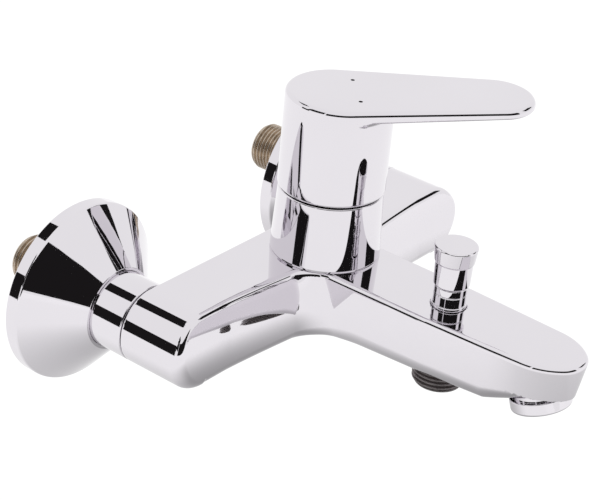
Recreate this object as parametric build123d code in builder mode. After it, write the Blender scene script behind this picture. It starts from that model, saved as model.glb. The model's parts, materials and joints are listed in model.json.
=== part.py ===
from build123d import *
import math
import os

# Wall mounted bath mixer tap, built as an assembly of separate pieces.
# Millimetres. +X is to the right seen from the front, +Y points into the wall, +Z is up.
# The origin is on the finished wall, midway between the two inlets, at the height of the inlets.

# ---------------------------------------------------------------- driving dimensions
# wall connections
inlet_spacing = 150.0          # centre to centre of the hot and cold inlets
wall_thread_radius = 10.48     # G 1/2 outside radius
wall_thread_end = 28.0         # how far the wall thread reaches into the wall
wall_thread_length = 19.0
thread_chamfer = 1.0
union_offset = 3.0             # eccentricity of the wall thread
union_turn_left = 0.0          # which way it points, in degrees, 90 being upwards
union_turn_right = 90.0
union_barrel_radius = 12.6
union_hex_across = 30.0
union_hex_start = 2.0          # distance in front of the wall
union_hex_width = 8.0
union_bore_radius = 7.4
tail_thread_radius = 13.2      # G 3/4 outside radius
union_end = 29.0               # distance in front of the wall

# escutcheons
escutcheon_radius = 36.6
escutcheon_lip = 5.5
escutcheon_end = 23.5
escutcheon_wall = 1.2
escutcheon_sleeve = 5.0

# union nuts, washers, inlet tails
nut_radius = 15.5
nut_start = 19.0
nut_end = 38.7
nut_lip = 3.6
nut_chamfer = 0.4
washer_thickness = 2.0
tail_radius = 10.0
tail_flange_radius = 12.6
tail_flange_thickness = 3.4
tail_depth = 10.0              # screwed depth in the casting

# casting
body_back = 39.0               # distance from the wall to the back of the casting
wing_radius = 15.5             # half height of the wings, and radius of their round ends
wing_front = 69.0              # distance from the wall to the front of the wings
wing_edge = 4.5                # bevel round the front of the wings
gusset_reach = 60.0            # half length of the blend along the wings
gusset_start = 65.0            # its distance from the wall there
gusset_end = 70.0              # its distance from the wall at the spout
gusset_round = 12.0
spout_half_width = 17.2
spout_tip_half_width = 15.6
spout_straight = 125.0         # distance from the wall where the sides start to taper
spout_tip_start = 165.0
spout_reach = 186.5            # distance from the wall to the tip
spout_tip_round = 7.0
spout_root_drop = 14.2         # depth of the underside below the inlet line at the root
spout_mid_drop = 10.4          # the same, just before the outlet face
nose_rake = 7.0                # how far the nose leans back from its top edge
neck_height = 38.5
outlet_land = 6.0              # flat left on the wall side of the aerator

# cartridge
handle_depth = 64.0            # distance from the wall to the vertical handle axis
seat_height = 4.0
cartridge_radius = 17.4
neck_wall = 1.7
neck_radius = cartridge_radius + neck_wall
base_thickness = 6.0
fixed_disc_thickness = 5.0
moving_disc_thickness = 4.5
carrier_thickness = 5.0
carrier_floor = 1.0
cartridge_shoulder = 33.0      # height of the shoulder that the retaining nut holds
cartridge_top = 37.0
housing_wall = 2.4
housing_roof = 2.0
housing_bore_radius = cartridge_radius - housing_wall
fixed_disc_radius = housing_bore_radius - 0.4
moving_disc_radius = housing_bore_radius - 3.6
carrier_radius = housing_bore_radius - 4.0
cartridge_collar_radius = housing_bore_radius - 1.8
rotor_neck_radius = cartridge_collar_radius - 1.6
pivot_height = 31.0
pivot_pin_radius = 1.5
pivot_pin_length = 2 * rotor_neck_radius - 3.2
slot_length = 2 * cartridge_collar_radius - 7.0
spindle_width = 8.0
spindle_top = 64.0
spindle_chamfer = 0.6
shank_width = 5.2
shank_margin = 2.0             # how far the flat shank passes the pin and the cartridge
ball_shank_width = 3.6
ball_radius = 2.6
ball_height = 23.4
ball_play = 0.3
disc_film = 0.02               # water film between the ceramic discs
thread_height = 0.8
retaining_thread_radius = cartridge_radius + thread_height
port_radius = 3.2
port_spread = 0.55 * fixed_disc_radius
port_set_back = 0.41 * fixed_disc_radius
port_seal_width = 1.1
port_seal_depth = 1.0
passage_length = 1.5 * moving_disc_radius
wrench_slot_count = 6
wrench_slot_radius = 1.6
wrench_slot_depth = 1.5

# cover and handle
lever_yaw = 46.0               # rest position of the lever, turned to the right from the front
cover_base_height = 16.3
cover_base_radius = neck_radius + 2.9
cover_top_radius = neck_radius + 1.7
cover_top_height = 43.0
cover_wall = 1.5
cover_hole_radius = 12.0
cover_foot_chamfer = 0.5
cover_top_chamfer = 0.8
seal_groove_height = 24.0
seal_groove_width = 1.6
seal_groove_depth = 0.7
hub_radius = cover_top_radius + 0.5
hub_base_height = 43.6
hub_rim_wall = 0.6
hub_rim_height = 3.0
hub_wall = 2.7
hub_ceiling_height = 75.5
lever_top_height = 83.4
lever_reach = 76.0             # from the handle axis to the tip
lever_side_start = 3.0
lever_side_end = 61.0
lever_tip_half_width = 16.2
lever_root_under = 79.0        # height of the underside at the hub
lever_tip_under = 79.9         # height of the underside at the tip
lever_tip_round = 10.0
lever_edge_round = 1.1
socket_boss_radius = 7.4
socket_boss_base = 49.0
socket_end_gap = 1.0
grub_height = 57.0
grub_radius = 2.0
grub_length = 5.0
plug_radius = 2.6
plug_thickness = 1.6
plug_sink = 0.1
mark_radius = 0.8
mark_depth = 0.5
mark_along = 6.0
mark_spread = 10.0

# diverter and shower outlet
diverter_depth = 124.0         # distance from the wall to the diverter axis
diverter_travel = 7.8
chamber_radius = 8.2
upper_seat_height = 5.0
upper_bore_radius = 5.8
bonnet_base = 10.5
bonnet_thread_radius = 6.8
bonnet_radius = 6.4
bonnet_flange_radius = 6.9
bonnet_flange_thickness = 1.0
bonnet_top = 24.2
bonnet_seal_drop = 5.0         # from the top of the bonnet to the foot of the seal groove
bonnet_seal_width = 1.8
stem_radius = 2.0
knob_base = 24.6
knob_base_radius = 7.05
knob_waist_height = 34.0
knob_waist_radius = 7.4
knob_top = 41.0
knob_top_radius = 8.5
knob_top_chamfer = 0.5
valve_radius = 7.2
valve_washer_thickness = 1.0
valve_plate_thickness = 2.0
stem_nut_radius = 3.2
stem_nut_thickness = 1.7
spring_wire_radius = 0.35
spring_radius = 3.4
spring_turns = 5.0
spring_end_gap = 0.1
outlet_thread_radius = 10.48   # G 1/2 outside radius
outlet_end = 18.8              # depth of its end below the inlet line
outlet_shoulder = 11.0
outlet_flange_radius = 10.2
outlet_thread_start = 13.0
outlet_top = 7.0               # depth of the lower valve seat
outlet_screw_radius = 9.2
outlet_bore_radius = 7.3
outlet_seat_radius = 5.4
check_top = 9.2
check_bottom = 18.2
check_lip_radius = 4.3
check_bore_radius = 6.2
check_lip_thickness = 1.2
guide_thickness = 1.4
guide_hub_radius = 2.3
guide_bar_width = 1.6
guide_bar_length = check_bore_radius + outlet_bore_radius
poppet_radius = 5.3
poppet_thickness = 1.4
poppet_stem_radius = 1.2
poppet_travel = 1.6
check_spring_turns = 3.0
check_spring_radius = (guide_hub_radius + poppet_stem_radius) / 2 + 0.2

# aerator
outlet_tilt = 20.0             # the jet leans away from the wall
aerator_depth = 168.5
aerator_radius = 11.7
aerator_length = 5.0
aerator_thread_radius = 10.0
aerator_screw_length = 6.0
aerator_bore_radius = 8.8
aerator_lip = 1.2
aerator_edge_round = 1.0
insert_thickness = 6.0
insert_hole_radius = 0.9
insert_hole_pitch = 2.6
insert_holes_across = 6
aerator_washer_thickness = 1.5

# waterways
feed_radius = 4.5
feed_depth = 55.0
feed_drop = 7.0
mixed_port_depth = handle_depth + 0.55 * fixed_disc_radius
mixed_radius = 4.2
mixed_drop = 3.8
spout_way_radius = 3.0
spout_way_height = 9.0

# clearances
slide_fit = 0.05               # between pieces that slide, turn or screw into each other
face_gap = 0.2                 # small gap left at a joint face
seal_gap = 0.05

os.makedirs("parts", exist_ok=True)

handle_direction = Vector(math.sin(math.radians(lever_yaw)), -math.cos(math.radians(lever_yaw)), 0)


def save(piece, name):
    """Label a finished piece and write it as one STEP file."""
    piece.part.label = name
    export_step(piece.part, f"parts/{name}.step")


def tap_plane(height):
    """Level plane on the handle axis, its x direction along the lever."""
    return Plane(origin=(0, -handle_depth, height), x_dir=handle_direction, z_dir=(0, 0, 1))


def fixed_plane(height):
    """Level plane on the handle axis, square to the wall."""
    return Plane(origin=(0, -handle_depth, height))


def diverter_plane(height):
    """Level plane on the diverter axis."""
    return Plane(origin=(0, -diverter_depth, height))


def inlet_plane(x_side, depth, rise=0):
    """Plane parallel to the wall on an inlet axis, facing the room."""
    return Plane(origin=(x_side, -depth, rise), x_dir=(1, 0, 0), z_dir=(0, -1, 0))


def ring(plane, length, outer, inner=0):
    """A plain turned ring or disc standing on a plane."""
    with BuildPart() as piece:
        with BuildSketch(plane):
            Circle(outer)
            if inner:
                Circle(inner, mode=Mode.SUBTRACT)
        extrude(amount=length)
    return piece


def bored(plane, length, radius):
    """Take a round bore out of the part being built."""
    with BuildSketch(plane, mode=Mode.PRIVATE) as outline:
        Circle(radius)
    extrude(outline.sketch, amount=length, mode=Mode.SUBTRACT)


# ---------------------------------------------------------------- both wall connections
washer_start = union_end
tail_start = union_end + washer_thickness
nut_lip_start = nut_end - nut_lip
cone_slope = (escutcheon_end - escutcheon_lip) / (escutcheon_radius - nut_radius - escutcheon_wall)
cone_turn = math.atan(cone_slope)
sleeve_radius = nut_radius + slide_fit
sleeve_outer = sleeve_radius + escutcheon_wall
inner_lip_radius = escutcheon_radius - escutcheon_wall


def inner_cone(radius):
    """Distance from the wall of the inside of the escutcheon cone at a radius."""
    outer_face = escutcheon_lip + cone_slope * (escutcheon_radius - radius)
    return outer_face - escutcheon_wall / math.cos(cone_turn)


for side_name, x_side, union_turn in (
    ("left", -inlet_spacing / 2, union_turn_left),
    ("right", inlet_spacing / 2, union_turn_right),
):
    shift = union_offset * math.cos(math.radians(union_turn))
    rise = union_offset * math.sin(math.radians(union_turn))
    with BuildPart() as wall_union:
        with BuildSketch(inlet_plane(x_side + shift, -wall_thread_end, rise)):
            Circle(wall_thread_radius)
        extrude(amount=wall_thread_length)
        thread_start = faces().sort_by(Axis.Y)[-1].edges()
        chamfer(thread_start, length=thread_chamfer)
        barrel_start = wall_thread_length - wall_thread_end
        with BuildSketch(inlet_plane(x_side + shift / 2, barrel_start, rise / 2)):
            Circle(union_barrel_radius)
        extrude(amount=wall_thread_end - wall_thread_length + union_hex_start)
        with BuildSketch(inlet_plane(x_side, union_hex_start)):
            RegularPolygon(radius=union_hex_across / 2, side_count=6, major_radius=False)
        extrude(amount=union_hex_width)
        with BuildSketch(inlet_plane(x_side, union_hex_start + union_hex_width)):
            Circle(tail_thread_radius)
        extrude(amount=union_end - union_hex_start - union_hex_width)
        bored(inlet_plane(x_side + shift, -wall_thread_end, rise), wall_thread_end, union_bore_radius)
        bored(inlet_plane(x_side, 0), union_end, union_bore_radius)
    save(wall_union, f"wall_union_{side_name}")

    with BuildPart() as escutcheon:
        with BuildSketch(Plane(origin=(x_side, 0, 0))):
            with BuildLine():
                Polyline(
                    (escutcheon_radius, 0),
                    (escutcheon_radius, -escutcheon_lip),
                    (nut_radius + escutcheon_wall, -escutcheon_end),
                    (sleeve_radius, -escutcheon_end),
                    (sleeve_radius, escutcheon_sleeve - escutcheon_end),
                    (sleeve_outer, escutcheon_sleeve - escutcheon_end),
                    (sleeve_outer, -inner_cone(sleeve_outer)),
                    (inner_lip_radius, -inner_cone(inner_lip_radius)),
                    (inner_lip_radius, 0),
                    close=True,
                )
            make_face()
        revolve(axis=Axis((x_side, 0, 0), (0, 1, 0)))
    save(escutcheon, f"escutcheon_{side_name}")

    with BuildPart() as union_nut:
        with BuildSketch(inlet_plane(x_side, nut_start)):
            Circle(nut_radius)
            Circle(tail_thread_radius + slide_fit, mode=Mode.SUBTRACT)
        extrude(amount=nut_end - nut_start)
        with BuildSketch(inlet_plane(x_side, nut_lip_start)):
            Circle(nut_radius)
            Circle(tail_radius + face_gap, mode=Mode.SUBTRACT)
        extrude(amount=nut_lip)
        outer_rim = faces().sort_by(Axis.Y)[0].edges().sort_by(SortBy.RADIUS)[-1]
        chamfer(outer_rim, length=nut_chamfer)
    save(union_nut, f"union_nut_{side_name}")

    inlet_washer = ring(
        inlet_plane(x_side, washer_start), washer_thickness, tail_flange_radius, union_bore_radius
    )
    save(inlet_washer, f"inlet_washer_{side_name}")

    with BuildPart() as inlet_tail:
        with BuildSketch(inlet_plane(x_side, tail_start)):
            Circle(tail_radius)
        extrude(amount=body_back - tail_start + tail_depth)
        with BuildSketch(inlet_plane(x_side, tail_start)):
            Circle(tail_flange_radius)
        extrude(amount=tail_flange_thickness)
        bored(inlet_plane(x_side, tail_start), body_back - tail_start + tail_depth, union_bore_radius)
    save(inlet_tail, f"inlet_tail_{side_name}")

# ---------------------------------------------------------------- casting
outlet_turn = math.radians(outlet_tilt)
outlet_rise = math.tan(outlet_turn)
outlet_corner = aerator_depth - aerator_radius - outlet_land
outlet_face_height = -spout_mid_drop + outlet_rise * (aerator_depth - outlet_corner)
nose_foot = spout_reach - nose_rake
nose_foot_height = -spout_mid_drop + outlet_rise * (nose_foot - outlet_corner)
outlet_plane = Plane(
    origin=(0, -aerator_depth, outlet_face_height),
    x_dir=(1, 0, 0),
    z_dir=(0, -math.sin(outlet_turn), -math.cos(outlet_turn)),
)

with BuildPart() as spout_form:
    with BuildSketch(Plane.XY.offset(-wing_radius)) as spout_plan:
        with BuildLine():
            Polyline(
                (0, -handle_depth + neck_radius),
                (-gusset_reach, -handle_depth + neck_radius),
                (-gusset_reach, -gusset_start),
                (-spout_half_width, -gusset_end),
                (-spout_half_width, -spout_straight),
                (-spout_tip_half_width, -spout_tip_start),
            )
            TangentArc(
                (-spout_tip_half_width, -spout_tip_start),
                (0, -spout_reach),
                tangent=(spout_half_width - spout_tip_half_width, spout_straight - spout_tip_start),
            )
            Line((0, -spout_reach), (0, -handle_depth + neck_radius))
        make_face()
        mirror(about=Plane.YZ)
        inner_corners = vertices().filter_by_position(Axis.Y, -gusset_end - 0.01, -gusset_end + 0.01)
        fillet(inner_corners, radius=gusset_round)
        tip_corner = vertices().sort_by(Axis.Y)[0]
        fillet(tip_corner, radius=spout_tip_round)
    extrude(amount=2 * wing_radius)
    with BuildSketch(Plane.YZ):
        with BuildLine():
            Polyline(
                (-handle_depth + neck_radius, wing_radius),
                (-handle_depth + neck_radius, -spout_root_drop),
                (-gusset_end, -spout_root_drop),
                (-outlet_corner, -spout_mid_drop),
                (-nose_foot, nose_foot_height),
            )
            ThreePointArc(
                (-nose_foot, nose_foot_height),
                (-spout_reach + nose_rake / 3, (nose_foot_height + wing_radius) / 2),
                (-spout_reach, wing_radius),
            )
            Line((-spout_reach, wing_radius), (-handle_depth + neck_radius, wing_radius))
        make_face()
    extrude(amount=inlet_spacing, both=True, mode=Mode.INTERSECT)

with BuildPart() as body_casting:
    with BuildSketch(Plane.XZ.offset(body_back)):
        SlotCenterToCenter(inlet_spacing, 2 * wing_radius)
    extrude(amount=wing_front - body_back)
    chamfer(faces().sort_by(Axis.Y)[0].edges(), length=wing_edge)
    add(spout_form.part)
    with BuildSketch(fixed_plane(0)):
        Circle(neck_radius)
    extrude(amount=neck_height)
    # cartridge seat, threaded mouth and ports
    bored(fixed_plane(seat_height), neck_height, cartridge_radius + slide_fit)
    bored(fixed_plane(cartridge_shoulder), neck_height, retaining_thread_radius + slide_fit)
    for x_side in (-inlet_spacing / 2, inlet_spacing / 2):
        feed_end = math.copysign(port_spread, x_side)
        bored(inlet_plane(x_side, body_back), tail_depth, tail_radius + slide_fit)
        bored(inlet_plane(x_side, body_back), feed_depth + feed_radius - body_back, union_bore_radius)
        with BuildSketch(Plane(origin=(x_side, -feed_depth, -feed_drop), z_dir=(-x_side, 0, 0))):
            Circle(feed_radius)
        extrude(amount=abs(x_side - feed_end), mode=Mode.SUBTRACT)
        port = Plane(origin=(feed_end, port_set_back - handle_depth, -feed_drop))
        bored(port, seat_height + feed_drop, port_radius)
    bored(Plane(origin=(0, -mixed_port_depth, -mixed_drop)), seat_height + mixed_drop, mixed_radius)
    bored(
        Plane(origin=(0, -mixed_port_depth, -mixed_drop), x_dir=(1, 0, 0), z_dir=(0, -1, 0)),
        diverter_depth - mixed_port_depth,
        mixed_radius,
    )
    # diverter chamber, its seats and the way to the aerator
    bored(diverter_plane(-wing_radius), wing_radius + upper_seat_height, chamber_radius)
    bored(diverter_plane(-wing_radius), wing_radius - outlet_top, outlet_screw_radius + slide_fit)
    spot_face = wing_radius - outlet_shoulder
    bored(diverter_plane(-wing_radius), spot_face, outlet_thread_radius + face_gap)
    bored(diverter_plane(0), wing_radius, upper_bore_radius)
    bored(diverter_plane(bonnet_base), wing_radius - bonnet_base, bonnet_thread_radius + slide_fit)
    bored(
        Plane(origin=(0, -diverter_depth, spout_way_height), x_dir=(1, 0, 0), z_dir=(0, -1, 0)),
        aerator_depth - diverter_depth,
        spout_way_radius,
    )
    aerator_seat = aerator_screw_length + aerator_washer_thickness
    bored(outlet_plane, -aerator_seat, aerator_thread_radius + slide_fit)
    bored(outlet_plane, -(spout_way_height - outlet_face_height), aerator_thread_radius / 2)
save(body_casting, "body_casting")

# ---------------------------------------------------------------- cartridge
base_top = seat_height + seal_gap + base_thickness
fixed_disc_top = base_top + fixed_disc_thickness
moving_disc_top = fixed_disc_top + moving_disc_thickness
carrier_top = moving_disc_top + carrier_thickness
port_places = [
    (-port_spread, port_set_back),
    (port_spread, port_set_back),
    (0, handle_depth - mixed_port_depth),
]

with BuildPart() as cartridge_base:
    with BuildSketch(fixed_plane(seat_height + seal_gap)):
        Circle(cartridge_radius)
    extrude(amount=base_thickness)
    with BuildSketch(fixed_plane(seat_height + seal_gap)):
        with Locations(*port_places):
            Circle(port_radius)
    extrude(amount=base_thickness, mode=Mode.SUBTRACT)
    with BuildSketch(fixed_plane(seat_height + seal_gap)):
        with Locations(*port_places):
            Circle(port_radius + port_seal_width + seal_gap)
    extrude(amount=port_seal_depth, mode=Mode.SUBTRACT)
save(cartridge_base, "cartridge_base")

with BuildPart() as port_seals:
    with BuildSketch(fixed_plane(seat_height)):
        with Locations(*port_places):
            Circle(port_radius + port_seal_width)
            Circle(port_radius, mode=Mode.SUBTRACT)
    extrude(amount=port_seal_depth)
save(port_seals, "port_seals")

with BuildPart() as fixed_disc:
    with BuildSketch(fixed_plane(base_top)):
        Circle(fixed_disc_radius)
        with Locations(*port_places):
            Circle(port_radius, mode=Mode.SUBTRACT)
    extrude(amount=fixed_disc_thickness)
save(fixed_disc, "fixed_ceramic_disc")

with BuildPart() as cartridge_housing:
    with BuildSketch(fixed_plane(base_top)):
        Circle(cartridge_radius)
        Circle(housing_bore_radius, mode=Mode.SUBTRACT)
    extrude(amount=cartridge_shoulder - base_top)
    with BuildSketch(fixed_plane(cartridge_shoulder - housing_roof)):
        Circle(cartridge_collar_radius)
        Circle(rotor_neck_radius + slide_fit, mode=Mode.SUBTRACT)
    extrude(amount=cartridge_top - cartridge_shoulder + housing_roof)
    with BuildSketch(fixed_plane(cartridge_shoulder - housing_roof)):
        Circle(cartridge_radius)
        Circle(rotor_neck_radius + slide_fit, mode=Mode.SUBTRACT)
    extrude(amount=housing_roof)
save(cartridge_housing, "cartridge_housing")

with BuildPart() as moving_disc:
    with BuildSketch(tap_plane(fixed_disc_top + disc_film)):
        Circle(moving_disc_radius)
    extrude(amount=moving_disc_thickness - disc_film)
    with BuildSketch(tap_plane(fixed_disc_top + disc_film)):
        SlotOverall(passage_length, 2 * port_radius)
    extrude(amount=moving_disc_thickness / 2, mode=Mode.SUBTRACT)
save(moving_disc, "moving_ceramic_disc")

with BuildPart() as disc_carrier:
    with BuildSketch(tap_plane(moving_disc_top)):
        Circle(carrier_radius)
    extrude(amount=carrier_thickness)
    with BuildSketch(tap_plane(moving_disc_top + carrier_floor)):
        Rectangle(2 * ball_radius + ball_play, 2 * ball_radius + ball_play)
    extrude(amount=carrier_thickness - carrier_floor, mode=Mode.SUBTRACT)
save(disc_carrier, "disc_carrier")

rotor_base = carrier_top + face_gap
slot_width = spindle_width + 2 * face_gap
pin_plane = Plane(
    origin=tap_plane(pivot_height).origin - tap_plane(0).y_dir * (pivot_pin_length / 2),
    x_dir=handle_direction,
    z_dir=tap_plane(0).y_dir,
)

with BuildPart() as rotor:
    with BuildSketch(tap_plane(rotor_base)):
        Circle(housing_bore_radius - slide_fit)
    extrude(amount=cartridge_shoulder - housing_roof - slide_fit - rotor_base)
    with BuildSketch(tap_plane(rotor_base)):
        Circle(rotor_neck_radius)
    extrude(amount=cartridge_top - rotor_base)
    with BuildSketch(tap_plane(rotor_base)):
        SlotOverall(slot_length, slot_width)
    extrude(amount=cartridge_top - rotor_base, mode=Mode.SUBTRACT)
    bored(pin_plane, pivot_pin_length, pivot_pin_radius)
save(rotor, "cartridge_rotor")

pivot_pin = ring(pin_plane, pivot_pin_length, pivot_pin_radius)
save(pivot_pin, "pivot_pin")

shank_base = pivot_height - shank_margin
shank_top = cartridge_top + shank_margin
with BuildPart() as spindle:
    with BuildSketch(tap_plane(ball_height)):
        Rectangle(ball_shank_width, ball_shank_width)
    extrude(amount=pivot_height - ball_height)
    with Locations(tap_plane(ball_height).origin):
        Sphere(ball_radius)
    with BuildSketch(tap_plane(shank_base)):
        Rectangle(shank_width, spindle_width)
    extrude(amount=shank_top - shank_base)
    with BuildSketch(tap_plane(shank_top)):
        Rectangle(spindle_width, spindle_width)
    extrude(amount=spindle_top - shank_top)
    chamfer(faces().sort_by(Axis.Z)[-1].edges(), length=spindle_chamfer)
    bored(pin_plane, pivot_pin_length, pivot_pin_radius + slide_fit)
save(spindle, "lever_spindle")

with BuildPart() as retaining_nut:
    with BuildSketch(fixed_plane(cartridge_shoulder)):
        Circle(retaining_thread_radius)
        Circle(cartridge_collar_radius + face_gap, mode=Mode.SUBTRACT)
    extrude(amount=neck_height - cartridge_shoulder)
    with BuildSketch(fixed_plane(neck_height - wrench_slot_depth)):
        with PolarLocations(retaining_thread_radius, wrench_slot_count):
            Circle(wrench_slot_radius)
    extrude(amount=wrench_slot_depth, mode=Mode.SUBTRACT)
save(retaining_nut, "cartridge_retaining_nut")

# ---------------------------------------------------------------- cover and handle
cover_ledge = wing_radius + seal_gap
with BuildPart() as dome_cover:
    with BuildSketch(Plane(origin=(0, -handle_depth, 0), x_dir=(1, 0, 0), z_dir=(0, -1, 0))):
        with BuildLine():
            Polyline(
                (neck_radius + slide_fit, cover_ledge),
                (cover_base_radius - cover_foot_chamfer, cover_ledge),
                (cover_base_radius, cover_base_height),
                (cover_top_radius, cover_top_height - cover_top_chamfer),
                (cover_top_radius - cover_top_chamfer, cover_top_height),
                (cover_hole_radius, cover_top_height),
                (cover_hole_radius, cover_top_height - cover_wall),
                (neck_radius + slide_fit, cover_top_height - cover_wall),
                close=True,
            )
        make_face()
    revolve(axis=Axis((0, -handle_depth, 0), (0, 0, 1)))
    bored(fixed_plane(seal_groove_height), seal_groove_width, neck_radius + seal_groove_depth)
save(dome_cover, "dome_cover")

cover_seal = ring(
    fixed_plane(seal_groove_height + seal_gap),
    seal_groove_width - 2 * seal_gap,
    neck_radius + seal_groove_depth - seal_gap,
    neck_radius,
)
save(cover_seal, "cover_seal")

side_view = Plane(
    origin=(0, -handle_depth, 0), x_dir=handle_direction, z_dir=-tap_plane(0).y_dir
)
screw_plane = Plane(
    origin=(0, -handle_depth, grub_height), x_dir=(0, 0, 1), z_dir=handle_direction
)
socket_width = spindle_width + 2 * slide_fit

with BuildPart() as lever_handle:
    with BuildSketch(tap_plane(lever_root_under)):
        with BuildLine():
            side_line = Line(
                (lever_side_start, math.sqrt(hub_radius**2 - lever_side_start**2)),
                (lever_side_end, lever_tip_half_width),
            )
            TangentArc(side_line @ 1, (lever_reach, 0), tangent=side_line % 1)
            Line((lever_reach, 0), (lever_side_start, 0))
            Line((lever_side_start, 0), side_line @ 0)
        make_face()
        mirror(about=Plane.XZ)
        fillet(vertices().sort_by(Axis.X)[-1], radius=lever_tip_round)
    extrude(amount=lever_top_height - lever_root_under)
    with BuildSketch(side_view):
        with BuildLine():
            Polyline(
                (0, lever_top_height),
                (0, lever_root_under),
                (hub_radius, lever_root_under),
                (lever_reach, lever_tip_under),
                (lever_reach, lever_top_height),
                close=True,
            )
        make_face()
    extrude(amount=2 * hub_radius, both=True, mode=Mode.INTERSECT)
    with BuildSketch(tap_plane(hub_base_height)):
        Circle(hub_radius)
    extrude(amount=lever_top_height - hub_base_height)
    fillet(faces().sort_by(Axis.Z)[-1].edges(), radius=lever_edge_round)
    bored(tap_plane(hub_base_height), hub_rim_height, hub_radius - hub_rim_wall)
    bored(tap_plane(hub_base_height), hub_ceiling_height - hub_base_height, hub_radius - hub_wall)
    bored(screw_plane, hub_radius, plug_radius + slide_fit)
    with BuildSketch(tap_plane(socket_boss_base)):
        Circle(socket_boss_radius)
    extrude(amount=hub_ceiling_height - socket_boss_base)
    with BuildSketch(tap_plane(socket_boss_base)):
        Rectangle(socket_width, socket_width)
    extrude(amount=spindle_top + socket_end_gap - socket_boss_base, mode=Mode.SUBTRACT)
    bored(screw_plane, socket_boss_radius, grub_radius + slide_fit)
    with BuildSketch(tap_plane(lever_top_height - mark_depth)):
        with Locations((mark_along, mark_spread), (mark_along, -mark_spread)):
            Circle(mark_radius + slide_fit)
    extrude(amount=mark_depth, mode=Mode.SUBTRACT)
save(lever_handle, "lever_handle")

grub_start = spindle_width / 2
grub_screw = ring(
    Plane(
        origin=Vector(0, -handle_depth, grub_height) + handle_direction * grub_start,
        x_dir=(0, 0, 1),
        z_dir=handle_direction,
    ),
    grub_length,
    grub_radius,
)
save(grub_screw, "grub_screw")

plug_start = hub_radius - plug_sink - plug_thickness
screw_plug = ring(
    Plane(
        origin=Vector(0, -handle_depth, grub_height) + handle_direction * plug_start,
        x_dir=(0, 0, 1),
        z_dir=handle_direction,
    ),
    plug_thickness,
    plug_radius,
)
save(screw_plug, "screw_plug")

for mark_name, mark_side in (("hot_mark", -mark_spread), ("cold_mark", mark_spread)):
    with BuildPart() as mark:
        with BuildSketch(tap_plane(lever_top_height - mark_depth)):
            with Locations((mark_along, mark_side)):
                Circle(mark_radius)
        extrude(amount=mark_depth)
    save(mark, mark_name)

# ---------------------------------------------------------------- diverter
with BuildPart() as bonnet:
    with BuildSketch(diverter_plane(bonnet_base)):
        Circle(bonnet_thread_radius)
    extrude(amount=wing_radius - bonnet_base)
    with BuildSketch(diverter_plane(wing_radius)):
        Circle(bonnet_flange_radius)
    extrude(amount=bonnet_flange_thickness)
    with BuildSketch(diverter_plane(wing_radius)):
        Circle(bonnet_radius)
    extrude(amount=bonnet_top - wing_radius)
    bored(diverter_plane(bonnet_base), bonnet_top - bonnet_base, stem_radius + slide_fit)
    bored(
        diverter_plane(bonnet_top - bonnet_seal_drop),
        bonnet_seal_width,
        stem_radius + bonnet_seal_width,
    )
save(bonnet, "diverter_bonnet")

bonnet_seal = ring(
    diverter_plane(bonnet_top - bonnet_seal_drop + seal_gap),
    bonnet_seal_width - 2 * seal_gap,
    stem_radius + bonnet_seal_width - seal_gap,
    stem_radius + slide_fit,
)
save(bonnet_seal, "bonnet_seal")

with BuildPart() as knob:
    with BuildSketch(Plane(origin=(0, -diverter_depth, 0), x_dir=(1, 0, 0), z_dir=(0, -1, 0))):
        with BuildLine():
            Polyline(
                (0, knob_base),
                (knob_base_radius, knob_base),
                (knob_waist_radius, knob_waist_height),
                (knob_top_radius, knob_top - knob_top_chamfer),
                (knob_top_radius - knob_top_chamfer, knob_top),
                (0, knob_top),
                close=True,
            )
        make_face()
    revolve(axis=Axis((0, -diverter_depth, 0), (0, 0, 1)))
    bored(diverter_plane(knob_base), knob_waist_height - knob_base, stem_radius)
save(knob, "diverter_knob")

valve_base = -outlet_top
plate_base = valve_base + valve_washer_thickness
upper_washer_base = plate_base + valve_plate_thickness
valve_top = upper_washer_base + valve_washer_thickness
stem_end = valve_base - stem_nut_thickness
diverter_stem = ring(
    diverter_plane(stem_end), knob_waist_height - stem_end, stem_radius
)
save(diverter_stem, "diverter_stem")

valve_plate = ring(diverter_plane(plate_base), valve_plate_thickness, valve_radius, stem_radius)
save(valve_plate, "valve_plate")

with BuildPart() as valve_washers:
    for washer_base in (valve_base + seal_gap, upper_washer_base):
        with BuildSketch(diverter_plane(washer_base)):
            Circle(valve_radius)
            Circle(stem_radius, mode=Mode.SUBTRACT)
        extrude(amount=valve_washer_thickness - seal_gap)
save(valve_washers, "valve_washers")

stem_nut = ring(diverter_plane(stem_end), stem_nut_thickness, stem_nut_radius, stem_radius)
save(stem_nut, "stem_nut")


def coil(base_height, top_height, turns, radius):
    """A round wire compression spring on the diverter axis between two heights."""
    free_length = top_height - base_height - 2 * spring_wire_radius
    with BuildPart() as piece:
        with BuildLine(diverter_plane(base_height + spring_wire_radius)):
            wire_path = Helix(pitch=free_length / turns, height=free_length, radius=radius)
        with BuildSketch(Plane(origin=wire_path @ 0, z_dir=wire_path % 0)):
            Circle(spring_wire_radius)
        sweep()
    return piece


diverter_spring = coil(
    valve_top + spring_end_gap, bonnet_base - spring_end_gap, spring_turns, spring_radius
)
save(diverter_spring, "diverter_spring")

# ---------------------------------------------------------------- shower outlet
with BuildPart() as nipple:
    with BuildSketch(diverter_plane(-outlet_end)):
        Circle(outlet_thread_radius)
    extrude(amount=outlet_end - outlet_thread_start)
    chamfer(faces().sort_by(Axis.Z)[0].edges(), length=thread_chamfer)
    with BuildSketch(diverter_plane(-outlet_thread_start)):
        Circle(outlet_flange_radius)
    extrude(amount=outlet_thread_start - outlet_shoulder)
    with BuildSketch(diverter_plane(-outlet_shoulder)):
        Circle(outlet_screw_radius)
    extrude(amount=outlet_shoulder - outlet_top)
    bored(diverter_plane(-outlet_end), outlet_end - check_top, outlet_bore_radius)
    bored(diverter_plane(-outlet_end), outlet_end, outlet_seat_radius)
save(nipple, "shower_outlet_nipple")

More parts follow.
